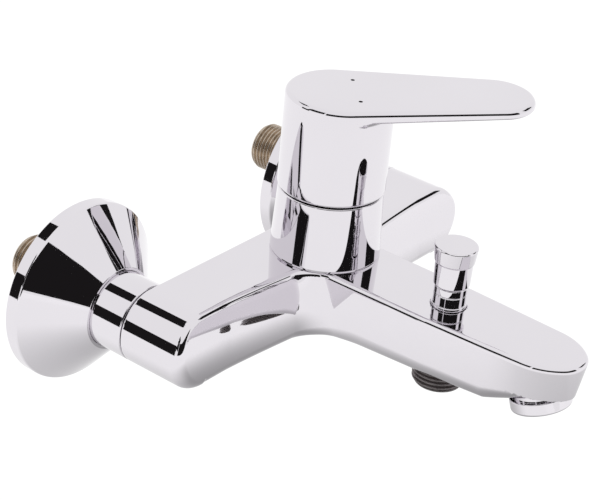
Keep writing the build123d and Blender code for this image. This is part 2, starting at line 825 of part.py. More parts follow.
guide_top = guide_thickness - check_bottom
with BuildPart() as check_valve_body:
    with BuildSketch(diverter_plane(-check_bottom)):
        Circle(outlet_bore_radius - slide_fit)
        Circle(check_bore_radius, mode=Mode.SUBTRACT)
    extrude(amount=check_bottom - check_top)
    with BuildSketch(diverter_plane(-check_top - check_lip_thickness)):
        Circle(outlet_bore_radius - slide_fit)
        Circle(check_lip_radius, mode=Mode.SUBTRACT)
    extrude(amount=check_lip_thickness)
    with BuildSketch(diverter_plane(-check_bottom)):
        Rectangle(guide_bar_length, guide_bar_width)
        Rectangle(guide_bar_width, guide_bar_length)
        Circle(guide_hub_radius)
        Circle(poppet_stem_radius + slide_fit, mode=Mode.SUBTRACT)
    extrude(amount=guide_thickness)
save(check_valve_body, "check_valve_body")

poppet_top = -check_top - check_lip_thickness - seal_gap
with BuildPart() as poppet:
    with BuildSketch(diverter_plane(poppet_top - poppet_thickness)):
        Circle(poppet_radius)
    extrude(amount=poppet_thickness)
    with BuildSketch(diverter_plane(-outlet_end + poppet_travel)):
        Circle(poppet_stem_radius)
    extrude(amount=outlet_end - poppet_travel + poppet_top)
save(poppet, "check_valve_poppet")

check_spring = coil(
    guide_top + seal_gap,
    poppet_top - poppet_thickness - seal_gap,
    check_spring_turns,
    check_spring_radius,
)
save(check_spring, "check_valve_spring")

# ---------------------------------------------------------------- aerator
insert_seat = aerator_length - aerator_lip
with BuildPart() as aerator_housing:
    with BuildSketch(outlet_plane):
        Circle(aerator_radius)
    extrude(amount=aerator_length)
    fillet(faces().sort_by(Axis.Z)[0].edges(), radius=aerator_edge_round)
    with BuildSketch(outlet_plane):
        Circle(aerator_thread_radius)
    extrude(amount=-aerator_screw_length)
    with BuildSketch(outlet_plane.offset(-aerator_screw_length)):
        Circle(aerator_bore_radius)
    extrude(amount=aerator_screw_length + insert_seat, mode=Mode.SUBTRACT)
    with BuildSketch(outlet_plane):
        Circle(aerator_bore_radius - aerator_lip)
    extrude(amount=aerator_length, mode=Mode.SUBTRACT)
save(aerator_housing, "aerator_housing")

with BuildPart() as aerator_insert:
    with BuildSketch(outlet_plane.offset(insert_seat - insert_thickness)):
        Circle(aerator_bore_radius - slide_fit)
        with HexLocations(insert_hole_pitch / 2, insert_holes_across, insert_holes_across):
            Circle(insert_hole_radius, mode=Mode.SUBTRACT)
    extrude(amount=insert_thickness)
save(aerator_insert, "aerator_insert")

aerator_washer = ring(
    outlet_plane.offset(-aerator_screw_length - aerator_washer_thickness),
    aerator_washer_thickness,
    aerator_thread_radius - face_gap,
    aerator_bore_radius - aerator_lip,
)
save(aerator_washer, "aerator_washer")
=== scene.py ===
"""Looks of a wall mounted bath mixer tap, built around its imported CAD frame."""

import json
import logging
import math
from dataclasses import dataclass, field
from enum import Enum
from typing import Callable, Sequence

import bpy
import numpy as np
import openvdb
from mathutils import Matrix, Vector


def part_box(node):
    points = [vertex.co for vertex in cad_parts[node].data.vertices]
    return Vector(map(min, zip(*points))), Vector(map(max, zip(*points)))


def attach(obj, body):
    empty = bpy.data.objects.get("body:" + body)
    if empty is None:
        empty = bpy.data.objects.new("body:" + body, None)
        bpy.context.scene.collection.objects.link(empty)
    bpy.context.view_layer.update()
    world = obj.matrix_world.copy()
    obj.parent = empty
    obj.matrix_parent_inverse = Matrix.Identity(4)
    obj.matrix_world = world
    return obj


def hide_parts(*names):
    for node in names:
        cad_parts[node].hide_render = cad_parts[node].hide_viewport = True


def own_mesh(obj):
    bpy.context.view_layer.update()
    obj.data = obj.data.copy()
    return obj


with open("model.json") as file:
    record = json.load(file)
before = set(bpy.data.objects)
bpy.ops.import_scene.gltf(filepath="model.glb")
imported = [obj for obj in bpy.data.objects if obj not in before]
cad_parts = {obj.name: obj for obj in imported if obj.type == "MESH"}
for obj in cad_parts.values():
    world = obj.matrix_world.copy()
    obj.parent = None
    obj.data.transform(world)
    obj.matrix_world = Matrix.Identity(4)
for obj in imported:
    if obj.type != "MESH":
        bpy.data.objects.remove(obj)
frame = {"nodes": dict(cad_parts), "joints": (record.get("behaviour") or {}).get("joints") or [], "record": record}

log = logging.getLogger("mixer_tap")
MM = 0.001
ON_AXIS = 1e-6
BUMP_DISTANCE = 0.0002
Array = np.ndarray
Distance = Callable[[Array], Array]


class Slot(Enum):
    """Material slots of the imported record."""

    CHROME = "chrome"
    NICKEL_BRASS = "nickel_brass"
    DARK_NICKEL = "dark_nickel"
    BARE_BRASS = "bare_brass"
    STEEL = "steel"
    BLACK_RUBBER = "black_rubber"
    WHITE_CERAMIC = "white_ceramic"
    GREY_PLASTIC = "grey_plastic"
    WHITE_PLASTIC = "white_plastic"
    RED_ENAMEL = "red_enamel"
    BLUE_ENAMEL = "blue_enamel"


class Body(Enum):
    """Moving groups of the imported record."""

    TAP = "tap_body"
    LEVER = "lever"
    DIVERTER = "diverter"


# ------------------------------------------------------------------ finishes


@dataclass(frozen=True)
class Finish:
    """A surface finish made of shader nodes that read the object's own coordinates.

    Args:
        slot: Record slot that the finish belongs to.
        colour: Linear base colour.
        metallic: 1 for bare or plated metal, 0 for anything else.
        roughness: Lowest and highest roughness over the surface.
        mottle: How far the colour varies from place to place.
        grain: Size of the variation, in waves per metre.
        relief: Strength of the fine surface relief.
        relief_grain: Size of the relief, in waves per metre.
        coat: Weight of a clear coat on top.
    """

    slot: Slot
    colour: tuple[float, float, float]
    metallic: float = 0.0
    roughness: tuple[float, float] = (0.3, 0.4)
    mottle: float = 0.05
    grain: float = 60.0
    relief: float = 0.02
    relief_grain: float = 900.0
    coat: float = 0.0

    def material(self) -> bpy.types.Material:
        """Build the finish's material once and give the same one after that.

        Returns:
            The node-based material.
        """
        made = bpy.data.materials.get(self.slot.value)
        if made is not None and made.get("finish"):
            return made
        made = bpy.data.materials.new(self.slot.value)
        made["finish"] = True
        made.use_nodes = True
        nodes, links = made.node_tree.nodes, made.node_tree.links
        shader = nodes["Principled BSDF"]
        shader.inputs["Metallic"].default_value = self.metallic
        shader.inputs["Coat Weight"].default_value = self.coat
        place = nodes.new("ShaderNodeTexCoord")
        broad = nodes.new("ShaderNodeTexNoise")
        broad.inputs["Scale"].default_value = self.grain
        broad.inputs["Detail"].default_value = 3.0
        links.new(place.outputs["Object"], broad.inputs["Vector"])
        tone = nodes.new("ShaderNodeValToRGB")
        low = [c * (1.0 - self.mottle) for c in self.colour]
        tone.color_ramp.elements[0].position = 0.35
        tone.color_ramp.elements[0].color = (*low, 1.0)
        tone.color_ramp.elements[1].position = 0.65
        tone.color_ramp.elements[1].color = (*self.colour, 1.0)
        links.new(broad.outputs["Fac"], tone.inputs["Fac"])
        links.new(tone.outputs["Color"], shader.inputs["Base Color"])
        rough = nodes.new("ShaderNodeMapRange")
        rough.inputs["To Min"].default_value = self.roughness[0]
        rough.inputs["To Max"].default_value = self.roughness[1]
        links.new(broad.outputs["Fac"], rough.inputs["Value"])
        links.new(rough.outputs["Result"], shader.inputs["Roughness"])
        if self.relief > 0.0:
            fine = nodes.new("ShaderNodeTexNoise")
            fine.inputs["Scale"].default_value = self.relief_grain
            fine.inputs["Detail"].default_value = 4.0
            links.new(place.outputs["Object"], fine.inputs["Vector"])
            bump = nodes.new("ShaderNodeBump")
            bump.inputs["Strength"].default_value = self.relief
            bump.inputs["Distance"].default_value = BUMP_DISTANCE
            links.new(fine.outputs["Fac"], bump.inputs["Height"])
            links.new(bump.outputs["Normal"], shader.inputs["Normal"])
        return made


FINISHES: dict[Slot, Finish] = {
    f.slot: f
    for f in (
        Finish(Slot.CHROME, (0.760, 0.735, 0.772), 1.0, (0.015, 0.035), 0.015, 25.0, 0.0),
        Finish(Slot.NICKEL_BRASS, (0.56, 0.47, 0.38), 1.0, (0.16, 0.30), 0.25, 260.0, 0.15, 2600.0),
        Finish(Slot.DARK_NICKEL, (0.22, 0.20, 0.20), 1.0, (0.22, 0.36), 0.25, 260.0, 0.15, 2600.0),
        Finish(Slot.BARE_BRASS, (0.75, 0.53, 0.25), 1.0, (0.22, 0.34), 0.12, 180.0, 0.10, 2600.0),
        Finish(Slot.STEEL, (0.56, 0.55, 0.54), 1.0, (0.22, 0.34), 0.08, 180.0, 0.08, 2600.0),
        Finish(Slot.BLACK_RUBBER, (0.020, 0.020, 0.021), 0.0, (0.45, 0.60), 0.20, 200.0, 0.20, 1800.0),
        Finish(Slot.WHITE_CERAMIC, (0.86, 0.85, 0.82), 0.0, (0.10, 0.18), 0.04, 120.0, 0.02, 1800.0, 0.3),
        Finish(Slot.GREY_PLASTIC, (0.17, 0.175, 0.185), 0.0, (0.35, 0.48), 0.08, 150.0, 0.12, 2200.0),
        Finish(Slot.WHITE_PLASTIC, (0.70, 0.70, 0.69), 0.0, (0.32, 0.45), 0.05, 150.0, 0.10, 2200.0),
        Finish(Slot.RED_ENAMEL, (0.30, 0.03, 0.03), 0.0, (0.08, 0.14), 0.10, 300.0, 0.02, 1800.0, 0.5),
        Finish(Slot.BLUE_ENAMEL, (0.03, 0.05, 0.26), 0.0, (0.08, 0.14), 0.10, 300.0, 0.02, 1800.0, 0.5),
    )
}


def dress(piece: bpy.types.Object, slot: Slot) -> None:
    """Give a piece the finish of a slot in place of any it had."""
    piece.data.materials.clear()
    piece.data.materials.append(FINISHES[slot].material())


def settle(piece: bpy.types.Object, body: Body, slot: Slot, *nodes: str) -> None:
    """Fix a finished piece to the frame.

    Args:
        piece: The new object, already in place.
        body: Moving group that it rides on.
        slot: Record slot of its finish.
        *nodes: CAD nodes that it stands for.
    """
    dress(piece, slot)
    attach(piece, body.value)
    if nodes:
        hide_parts(*nodes)
    log.info("%s: %d faces on %s", piece.name, len(piece.data.polygons), body.value)


# ------------------------------------------------------------------ mesh making


def add_object(name: str, mesh: bpy.types.Mesh) -> bpy.types.Object:
    """Put a mesh in the scene as an object at the origin."""
    piece = bpy.data.objects.new(name, mesh)
    bpy.context.scene.collection.objects.link(piece)
    return piece


def mesh_with_normals(name: str, points: Array, faces: Sequence, normals: Array) -> bpy.types.Mesh:
    """Make a smooth mesh whose vertex normals are given.

    Args:
        name: Mesh name.
        points: Vertices in metres.
        faces: Vertex indices of each face.
        normals: One outward unit vector per vertex.

    Returns:
        The mesh.
    """
    mesh = bpy.data.meshes.new(name)
    mesh.from_pydata(points.tolist(), [], [tuple(int(i) for i in f) for f in faces])
    mesh.validate()
    mesh.shade_smooth()
    mesh.normals_split_custom_set_from_vertices(normals.tolist())
    return mesh


def gradient(distance: Distance, points: Array, step: float = 0.02) -> Array:
    """Measure the slope of a distance function by central differences.

    Args:
        distance: The function.
        points: Where to measure, in millimetres.
        step: Distance to either side of a point.

    Returns:
        One slope vector per point.
    """
    slope = np.empty_like(points)
    for axis in range(3):
        shift = np.zeros(3)
        shift[axis] = step
        slope[:, axis] = (distance(points + shift) - distance(points - shift)) / (2 * step)
    return slope


def skin(name: str, distance: Distance, node: str, step: float) -> bpy.types.Object:
    """Wrap a smooth quad mesh round the inside of a distance function.

    Args:
        name: Object name.
        distance: Negative inside the solid, in millimetres.
        node: CAD node whose box, with a small margin, holds the solid.
        step: Spacing of the samples.

    Returns:
        The object, in metres.
    """
    margin, passes, least_slope = 2.0, 4, 0.2
    low, high = ([v / MM + side for v in corner] for corner, side in zip(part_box(node), (-margin, margin)))
    counts = [int(math.ceil((h - l) / step)) + 1 for l, h in zip(low, high)]
    axes = [l + step * np.arange(n) for l, n in zip(low, counts)]
    values = np.empty(counts, dtype=np.float32)
    flat = np.stack(np.meshgrid(axes[1], axes[2], indexing="ij"), axis=-1).reshape(-1, 2)
    for i, x in enumerate(axes[0]):
        points = np.column_stack([np.full(len(flat), x), flat])
        values[i] = distance(points).reshape(counts[1], counts[2])
    band = 8 * step
    grid = openvdb.FloatGrid(float(band))
    grid.copyFromArray(np.clip(values, -band, band))
    points, quads = grid.convertToQuads(0.0)
    points = np.asarray(points, dtype=float) * step + np.asarray(low, dtype=float)
    for _ in range(passes):
        slope = gradient(distance, points)
        size = np.maximum((slope**2).sum(axis=1), least_slope)
        move = slope * (distance(points) / size)[:, None]
        length = np.maximum(np.linalg.norm(move, axis=1), 1e-9)
        points = points - move * np.minimum(1.0, 0.5 * step / length)[:, None]
    slope = gradient(distance, points)
    normals = slope / np.maximum(np.linalg.norm(slope, axis=1), 1e-9)[:, None]
    quads = np.asarray(quads)
    across = np.cross(points[quads[:, 2]] - points[quads[:, 0]], points[quads[:, 3]] - points[quads[:, 1]])
    if (across * normals[quads[:, 0]]).sum() < 0:
        quads = quads[:, ::-1]
    return add_object(name, mesh_with_normals(name, points * MM, quads, normals))


def meet(a: Array, b: Array, radius: Array | float) -> Array:
    """Overlap of two solids, its edge rounded to a radius."""
    u = np.hypot(np.maximum(a + radius, 0.0), np.maximum(b + radius, 0.0))
    return np.minimum(-radius, np.maximum(a, b)) + u


def join(a: Array, b: Array, radius: float) -> Array:
    """Union of two solids, its inner corner filled to a radius."""
    u = np.hypot(np.maximum(radius - a, 0.0), np.maximum(radius - b, 0.0))
    return np.maximum(radius, np.minimum(a, b)) - u


def cut(a: Array, tool: Array) -> Array:
    """A solid with another one taken out of it."""
    return np.maximum(a, -tool)


def ease(value: Array, start: float, end: float) -> Array:
    """Smooth step from 0 at start to 1 at end."""
    t = np.clip((value - start) / (end - start), 0.0, 1.0)
    return t * t * (3.0 - 2.0 * t)


def rod(across: Array, along: Array, radius: float, start: float, end: float) -> Array:
    """Distance to a round bar, from its radial distance and its distance along the axis."""
    return np.maximum(across - radius, np.maximum(start - along, along - end))


@dataclass(frozen=True)
class Corner:
    """A corner of a turned profile: radius from the axis, height along it, and its rounding."""

    radius: float
    height: float
    round: float = 0.15


@dataclass(frozen=True)
class Turned:
    """A piece turned on a lathe from a closed profile.

    Args:
        corners: Profile corners, anticlockwise with the axis on the left.
        origin: Point on the axis in metres where height is 0.
        axis: Direction of growing height.
        sides: Facets round the axis.
        arc_steps: Facets round each corner of the profile.
        least_turn: Corners that turn less than this, in radians, get a single facet.
    """

    corners: tuple[Corner, ...]
    origin: tuple[float, float, float]
    axis: tuple[float, float, float] = (0.0, 0.0, 1.0)
    sides: int = 128
    arc_steps: int = 6
    least_turn: float = 0.05

    def outline(self) -> tuple[Array, Array]:
        """Round the profile's corners.

        Returns:
            The profile's points and its outward normals, both (n, 2).
        """
        points: list[Array] = []
        normals: list[Array] = []
        total = len(self.corners)
        raw = [np.array([c.radius, c.height]) for c in self.corners]
        for i, corner in enumerate(self.corners):
            here, before, after = raw[i], raw[i - 1], raw[(i + 1) % total]
            into, out = here - before, after - here
            reach = 0.45 * min(np.linalg.norm(into), np.linalg.norm(out))
            into, out = into / np.linalg.norm(into), out / np.linalg.norm(out)
            turn = math.atan2(into[0] * out[1] - into[1] * out[0], float(into @ out))
            if abs(corner.radius) < ON_AXIS:
                points.append(here)
                normals.append(np.array([0.0, 1.0 if into[0] < 0 else -1.0]))
                continue
            back = min(reach, corner.round * abs(math.tan(turn / 2)))
            bend = back / max(abs(math.tan(turn / 2)), 1e-6)
            side = math.copysign(1.0, turn)
            centre = here - into * back + side * bend * np.array([-into[1], into[0]])
            steps = self.arc_steps if abs(turn) > self.least_turn else 1
            for k in range(steps + 1):
                angle = turn * k / steps
                heading = np.array([into[0] * math.cos(angle) - into[1] * math.sin(angle),
                                    into[0] * math.sin(angle) + into[1] * math.cos(angle)])
                spot = centre - side * bend * np.array([-heading[1], heading[0]])
                points.append(spot if abs(turn) > 1e-4 else here)
                normals.append(np.array([heading[1], -heading[0]]))
        return np.array(points), np.array(normals)

    def mesh(self, name: str) -> bpy.types.Mesh:
        """Sweep the rounded profile round the axis, with one shared vertex at each pole.

        Args:
            name: Mesh name.

        Returns:
            The closed mesh, in metres.
        """
        points, normals = self.outline()
        count = len(points)
        basis = np.array(Vector(self.axis).normalized().to_track_quat("Z", "X").to_matrix())
        angles = 2 * math.pi * np.arange(self.sides) / self.sides

        def spun(profile: Array) -> Array:
            """Turn (radius, height) pairs round the axis, one ring per side."""
            out, along = profile[:, 0], profile[:, 1]
            rings = [np.column_stack([out * math.cos(a), out * math.sin(a), along]) for a in angles]
            return np.concatenate([ring @ basis.T for ring in rings])

        vertices, vectors = spun(points) * MM + np.array(self.origin), spun(normals)
        poles = points[:, 0] < ON_AXIS
        index = np.arange(len(vertices)).reshape(self.sides, count)
        index[:, poles] = index[0, poles]
        faces = []
        for s in range(self.sides):
            t = (s + 1) % self.sides
            for i in range(count):
                j = (i + 1) % count
                if poles[i] and poles[j]:
                    continue
                quad = [index[s, i], index[t, i], index[t, j], index[s, j]]
                if poles[i]:
                    quad.pop(1)
                elif poles[j]:
                    quad.pop(3)
                faces.append(quad)
        used = np.unique(index)
        place = np.searchsorted(used, np.arange(len(vertices)))
        faces = [[place[v] for v in quad] for quad in faces]
        return mesh_with_normals(name, vertices[used], faces, vectors[used])

    def build(self, name: str) -> bpy.types.Object:
        """Make the turned piece as an object."""
        return add_object(name, self.mesh(name))


def weld(name: str, parts: Sequence[bpy.types.Mesh]) -> bpy.types.Object:
    """Collect several meshes into one object, keeping their normals.

    Args:
        name: Name of the object.
        parts: Meshes in metres, each used up.

    Returns:
        The object.
    """
    made = [add_object(f"{name}_{i}", m) for i, m in enumerate(parts)]
    with bpy.context.temp_override(active_object=made[0], selected_editable_objects=made,
                                   selected_objects=made, object=made[0]):
        bpy.ops.object.join()
    made[0].name = name
    made[0].data.name = name
    return made[0]


# ------------------------------------------------------------------ node-built pieces


Term = bpy.types.NodeSocket | float


class NodeTree:
    """A Geometry Nodes tree with named inputs, and the shortest way to add nodes to it."""

    def __init__(self, name: str, sizes: dict[str, float]) -> None:
        """Start a tree that gives a mesh.

        Args:
            name: Name of the tree.
            sizes: Its named inputs and their values, in metres.
        """
        self.tree = bpy.data.node_groups.new(name, "GeometryNodeTree")
        self.tree.interface.new_socket("Geometry", in_out="OUTPUT", socket_type="NodeSocketGeometry")
        self.sizes = sizes
        self.keys: dict[str, str] = {}
        for label in sizes:
            socket = self.tree.interface.new_socket(label, in_out="INPUT", socket_type="NodeSocketFloat")
            self.keys[label] = socket.identifier
        socket = self.tree.interface.new_socket("Finish", in_out="INPUT", socket_type="NodeSocketMaterial")
        self.keys["Finish"] = socket.identifier
        self.source = self.tree.nodes.new("NodeGroupInput")
        self.sink = self.tree.nodes.new("NodeGroupOutput")

    def add(self, kind: str, inputs: dict | None = None, **settings) -> bpy.types.Node:
        """Add a node.

        Args:
            kind: Node type.
            inputs: Values or output sockets by input name or index.
            **settings: Properties of the node.

        Returns:
            The node.
        """
        node = self.tree.nodes.new(kind)
        for key, value in settings.items():
            setattr(node, key, value)
        for key, value in (inputs or {}).items():
            if isinstance(value, bpy.types.NodeSocket):
                self.tree.links.new(value, node.inputs[key])
            else:
                node.inputs[key].default_value = value
        return node

    def sum(self, operation: str, a: Term, b: Term = 0.0) -> bpy.types.NodeSocket:
        """Output of one Math node."""
        return self.add("ShaderNodeMath", {0: a, 1: b}, operation=operation).outputs[0]

    def size(self, label: str) -> bpy.types.NodeSocket:
        """Output of a named input."""
        return self.source.outputs[label]

    def end(self, mesh: bpy.types.NodeSocket) -> None:
        """Close the tree with Realize Instances and Set Material."""
        real = self.add("GeometryNodeRealizeInstances", {"Geometry": mesh})
        shown = self.add("GeometryNodeSetMaterial",
                         {"Geometry": real.outputs[0], "Material": self.size("Finish")})
        self.tree.links.new(shown.outputs[0], self.sink.inputs[0])

    def bake(self, name: str, finish: bpy.types.Material) -> bpy.types.Mesh:
        """Run the tree once.

        Args:
            name: Name of the mesh.
            finish: Material for the tree's Finish input.

        Returns:
            The result as a plain mesh.
        """
        holder = add_object(f"{name}_source", bpy.data.meshes.new(f"{name}_source"))
        modifier = holder.modifiers.new("shape", "NODES")
        modifier.node_group = self.tree
        for label, value in self.sizes.items():
            modifier[self.keys[label]] = float(value)
        modifier[self.keys["Finish"]] = finish
        graph = bpy.context.evaluated_depsgraph_get()
        mesh = bpy.data.meshes.new_from_object(holder.evaluated_get(graph), depsgraph=graph)
        mesh.name = name
        bpy.data.objects.remove(holder)
        return mesh


@dataclass(frozen=True)
class PipeThread:
    """An external pipe thread, cut as a true helix that runs out at its free end.

    Args:
        radius: Outside radius in millimetres.
        length: Threaded length.
        pitch: Distance between crests.
        depth: Height of the thread form.
        inner: Radius of the wall that closes the ring inside the piece it is cut on.
        inset: How far that wall stops short of the free end.
        sides: Facets round the axis.
        rows_per_turn: Rows of facets in one turn of the helix.
    """

    radius: float
    length: float
    pitch: float = 1.814
    depth: float = 1.16
    inner: float = 8.2
    inset: float = 0.8
    sides: int = 96
    rows_per_turn: int = 12

    def mesh(self, name: str, slot: Slot) -> bpy.types.Mesh:
        """Build the threaded ring along +Z from height 0, its free end at the top.

        Args:
            name: Name of the mesh.
            slot: Slot of its finish.

        Returns:
            The closed ring, in metres.
        """
        sizes = {"Radius": self.radius * MM, "Length": self.length * MM, "Pitch": self.pitch * MM,
                 "Depth": self.depth * MM, "Inner": self.inner * MM, "Inset": self.inset * MM}
        nodes = NodeTree(f"{name}_nodes", sizes)
        rows = int(self.length / self.pitch * self.rows_per_turn) + 3
        sheet = nodes.add("GeometryNodeMeshGrid", {"Size X": 1.0, "Size Y": 1.0,
                                                   "Vertices X": self.sides + 1, "Vertices Y": rows})
        place = nodes.add("GeometryNodeInputPosition")
        parts = nodes.add("ShaderNodeSeparateXYZ", {0: place.outputs[0]})
        turn = nodes.sum("ADD", parts.outputs[0], 0.5)
        row = nodes.sum("MULTIPLY", nodes.sum("ADD", parts.outputs[1], 0.5), float(rows - 1))
        share = nodes.add("ShaderNodeMapRange", {"Value": row, "From Min": 1.0, "From Max": float(rows - 3)})
        height = nodes.sum("MULTIPLY", share.outputs[0], nodes.size("Length"))
        phase = nodes.sum("SUBTRACT", nodes.sum("DIVIDE", height, nodes.size("Pitch")), turn)
        tooth = nodes.sum("ABSOLUTE", nodes.sum("SUBTRACT", nodes.sum("FRACT", phase), 0.5))
        tooth = nodes.add("ShaderNodeMapRange", {"Value": tooth, "From Min": 0.07, "From Max": 0.43,
                                                 "To Min": 0.0, "To Max": 1.0},
                          interpolation_type="SMOOTHSTEP").outputs[0]
        left = nodes.sum("SUBTRACT", nodes.size("Length"), height)
        lead = nodes.sum("SUBTRACT", 1.0, nodes.sum("DIVIDE", left, nodes.size("Pitch")))
        lead = nodes.sum("MAXIMUM", lead, 0.0)
        groove = nodes.sum("MAXIMUM", tooth, lead)
        carved = nodes.sum("MULTIPLY", groove, nodes.size("Depth"))
        radius = nodes.sum("SUBTRACT", nodes.size("Radius"), carved)
        first = nodes.sum("LESS_THAN", row, 0.5)
        ending = nodes.sum("GREATER_THAN", row, rows - 2.5)
        last = nodes.sum("GREATER_THAN", row, rows - 1.5)
        inside = nodes.sum("MAXIMUM", first, ending)
        radius = nodes.sum("ADD", nodes.sum("MULTIPLY", radius, nodes.sum("SUBTRACT", 1.0, inside)),
                           nodes.sum("MULTIPLY", nodes.size("Inner"), inside))
        height = nodes.sum("SUBTRACT", height, nodes.sum("MULTIPLY", ending, nodes.size("Inset")))
        height = nodes.sum("MULTIPLY", height, nodes.sum("SUBTRACT", 1.0, last))
        angle = nodes.sum("MULTIPLY", turn, 2 * math.pi)
        spot = nodes.add("ShaderNodeCombineXYZ", {
            0: nodes.sum("MULTIPLY", radius, nodes.sum("COSINE", angle)),
            1: nodes.sum("MULTIPLY", radius, nodes.sum("SINE", angle)),
            2: height})
        rolled = nodes.add("GeometryNodeSetPosition", {"Geometry": sheet.outputs[0],
                                                       "Position": spot.outputs[0]})
        closed = nodes.add("GeometryNodeMergeByDistance", {"Geometry": rolled.outputs[0],
                                                           "Distance": 0.00001})
        smooth = nodes.add("GeometryNodeSetShadeSmooth", {"Geometry": closed.outputs[0]})
        nodes.end(smooth.outputs[0])
        return nodes.bake(name, FINISHES[slot].material())


@dataclass(frozen=True)
class Gauze:
    """A round piece of woven wire gauze.

    Args:
        radius: Radius of the disc in millimetres.
        spacing: Distance between wires.
        wire: Radius of a wire.
        wire_sides: Facets round a wire.
    """

    radius: float
    spacing: float = 0.85
    wire: float = 0.14
    wire_sides: int = 6

    def mesh(self, name: str, slot: Slot) -> bpy.types.Mesh:
        """Build the gauze on the XY plane.

        Args:
            name: Name of the mesh.
            slot: Slot of its finish.

        Returns:
            The wires, in metres.
        """
        sizes = {"Radius": self.radius * MM, "Span": 2 * self.radius * MM, "Wire": self.wire * MM}
        nodes = NodeTree(f"{name}_nodes", sizes)
        count = int(2 * self.radius / self.spacing) + 1
        sheet = nodes.add("GeometryNodeMeshGrid", {"Size X": nodes.size("Span"), "Size Y": nodes.size("Span"),
                                                   "Vertices X": count, "Vertices Y": count})
        place = nodes.add("GeometryNodeInputPosition")
        far = nodes.add("ShaderNodeVectorMath", {0: place.outputs[0]}, operation="LENGTH")
        outside = nodes.add("FunctionNodeCompare", {"A": far.outputs["Value"], "B": nodes.size("Radius")},
                            data_type="FLOAT", operation="GREATER_THAN")
        disc = nodes.add("GeometryNodeDeleteGeometry", {"Geometry": sheet.outputs[0],
                                                        "Selection": outside.outputs[0]}, domain="POINT")
        lines = nodes.add("GeometryNodeMeshToCurve", {"Mesh": disc.outputs[0]})
        section = nodes.add("GeometryNodeCurvePrimitiveCircle",
                            {"Resolution": self.wire_sides, "Radius": nodes.size("Wire")})
        wires = nodes.add("GeometryNodeCurveToMesh", {"Curve": lines.outputs[0],
                                                      "Profile Curve": section.outputs[0], "Fill Caps": True})
        nodes.end(wires.outputs[0])
        return nodes.bake(name, FINISHES[slot].material())


def stand(mesh: bpy.types.Mesh, origin: Sequence[float], axis: Sequence[float]) -> bpy.types.Mesh:
    """Turn a mesh built along +Z onto an axis, and put its base at a point in metres."""
    turn = Vector(axis).normalized().to_track_quat("Z", "X").to_matrix().to_4x4()
    mesh.transform(Matrix.Translation(Vector(origin)) @ turn)
    return mesh


# ------------------------------------------------------------------ reading the frame


def middle(node: str) -> Vector:
    """Centre of a CAD node's box, in metres."""
    low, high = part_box(node)
    return (Vector(low) + Vector(high)) / 2


def top_of(node: str) -> float:
    """Highest point of a CAD node, in millimetres."""
    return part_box(node)[1][2] / MM


def foot_of(node: str) -> float:
    """Lowest point of a CAD node, in millimetres."""
    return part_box(node)[0][2] / MM


def reach_of(node: str) -> tuple[float, float]:
    """Distances from the wall of the back and the front of a CAD node, in millimetres."""
    low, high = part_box(node)
    return -high[1] / MM, -low[1] / MM


def radius_of(node: str) -> float:
    """Half the width of a CAD node, in millimetres."""
    low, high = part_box(node)
    return (high[0] - low[0]) / 2 / MM


# ------------------------------------------------------------------ sub-assemblies


